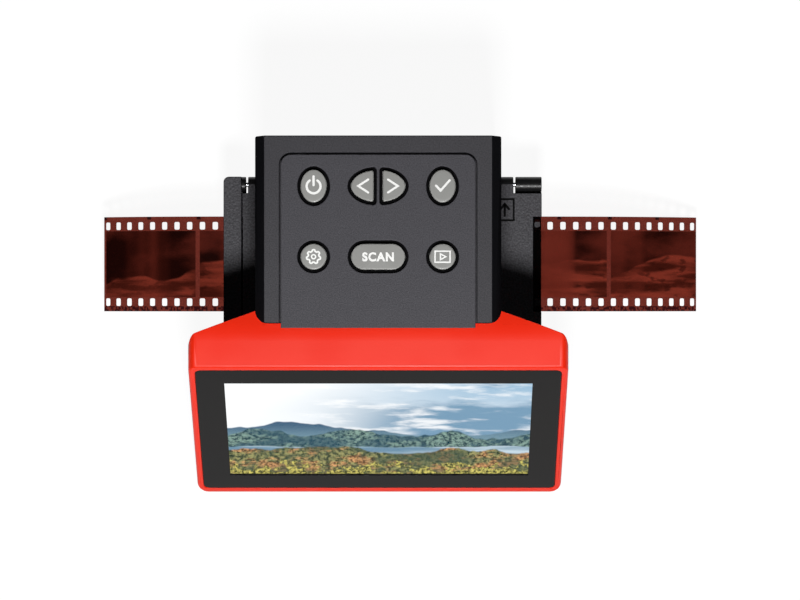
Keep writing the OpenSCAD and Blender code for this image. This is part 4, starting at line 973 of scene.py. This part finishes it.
made, tree, shader = finish("opal_white", paint(238, 238, 234), Roughness=0.55, Specular_Level=0.4)
frost = mottle(tree, 900.0, 4.0)
feed(tree, blended(tree, frost, paint(230, 230, 225), paint(245, 245, 242)), shader["Base Color"])
raised(tree, shader, frost, 0.01 * MM)
dressed(made, "diffuser", "light_box")

PHOSPHOR_Z = 9.45 * MM
made, tree, shader = finish("led_package", paint(240, 236, 214), Roughness=0.4)
glow = blended(tree, mottle(tree, 2500.0), paint(236, 206, 96), paint(246, 226, 140))
phosphor = calc(tree, "GREATER_THAN", own_place(tree)["Z"], PHOSPHOR_Z)
feed(tree, blended(tree, phosphor, paint(240, 240, 236), glow), shader["Base Color"])
dressed(made, "backlight_leds")

made, tree, shader = finish("display_back", paint(178, 180, 182), Metallic=0.8, Roughness=0.35)
sheen = mottle(tree, 400.0, 4.0)
feed(tree, blended(tree, sheen, paint(160, 162, 164), paint(196, 198, 200)), shader["Base Color"])
feed(tree, ramp(tree, sheen, 0.3, 0.7, 0.3, 0.42), shader["Roughness"])
dressed(made, "lcd_panel")

WIRE_PITCH = 0.5 * MM
made, tree, shader = finish("flat_cable", paint(196, 128, 44), Roughness=0.3)
from_gap = calc(tree, "PINGPONG", own_place(tree)["X"], WIRE_PITCH / 2)
wire = ramp(tree, from_gap, 0.1 * MM, 0.13 * MM)
feed(tree, blended(tree, wire, paint(206, 138, 50), paint(150, 84, 34)), shader["Base Color"])
raised(tree, shader, wire, 0.03 * MM)
dressed(made, "sensor_ribbon", "key_ribbon")

# --- Stage -------------------------------------------------------------------
# A white floor under a small softbox in front of the zenith, with three weak fills, seen
# straight from above.
FLOOR_HALF = 8.0
FLOOR_GLOW, SKY_GLOW, ROOM_LIGHT = 0.93, 0.92, 0.08
CAMERA_PLACE, LENS_IN_MM, SENSOR_IN_MM = (7.75 * MM, -13.3 * MM, 1431 * MM), 171.4, 36


def seen(tree):
    """1 for the rays that show the white background: straight, in gloss and through glass."""
    rays = place(tree, "ShaderNodeLightPath").outputs
    shown = calc(tree, "MAXIMUM", rays["Is Camera Ray"], rays["Is Glossy Ray"])
    return calc(tree, "MAXIMUM", shown, rays["Is Transmission Ray"])


made, tree, shader = finish("floor_white", (0.8, 0.8, 0.8, 1), Roughness=0.9, Specular_Level=0.0)
surface = blended(tree, seen(tree), (0.7, 0.7, 0.7, 1), (0.11, 0.11, 0.11, 1))
feed(tree, surface, shader["Base Color"])
shader["Emission Color"].default_value = (1, 1, 1, 1)
feed(tree, calc(tree, "MULTIPLY", seen(tree), FLOOR_GLOW), shader["Emission Strength"])
shape = bmesh.new()
bmesh.ops.create_grid(shape, x_segments=1, y_segments=1, size=FLOOR_HALF)
floor = finished("floor", shape, made)

world = bpy.data.worlds.new("studio")
bpy.context.scene.world = world
world.use_nodes = True
tree = world.node_tree
direction = place(tree, "ShaderNodeTexCoord").outputs["Generated"]
height = place(tree, "ShaderNodeSeparateXYZ", {0: direction}).outputs["Z"]
white = calc(tree, "MULTIPLY", seen(tree), ramp(tree, height, 0.03, 0.1, 1, 0))
level = calc(tree, "ADD", calc(tree, "MULTIPLY", white, SKY_GLOW), ROOM_LIGHT)
tree.links.new(level, tree.nodes["Background"].inputs["Strength"])


def lamp(name, place_at, aim, size, power):
    """A square softbox at place_at, turned to aim."""
    light = bpy.data.lights.new(name, "AREA")
    light.shape, light.size, light.energy = "SQUARE", size, power
    made = added(name, light)
    made.location = place_at
    made.rotation_euler = (Vector(aim) - Vector(place_at)).to_track_quat("-Z", "Y").to_euler()


lamp("key softbox", (0.02, -0.4, 0.88), (0, -0.02, 0.06), 0.16, 8.4)
lamp("front fill", (0, -1.6, 1.2), (0, 0, 0.05), 0.8, 0.8)
lamp("left fill", (-1.0, 1.2, 1.0), (0, 0, 0.05), 0.8, 0.8)
lamp("right fill", (1.0, 1.2, 1.0), (0, 0, 0.05), 0.8, 1.9)

camera_data = bpy.data.cameras.new("camera")
camera_data.sensor_width, camera_data.lens = SENSOR_IN_MM, LENS_IN_MM
camera = added("camera", camera_data)
camera.location = CAMERA_PLACE
bpy.context.scene.camera = camera
bpy.context.scene.view_settings.view_transform = "Standard"
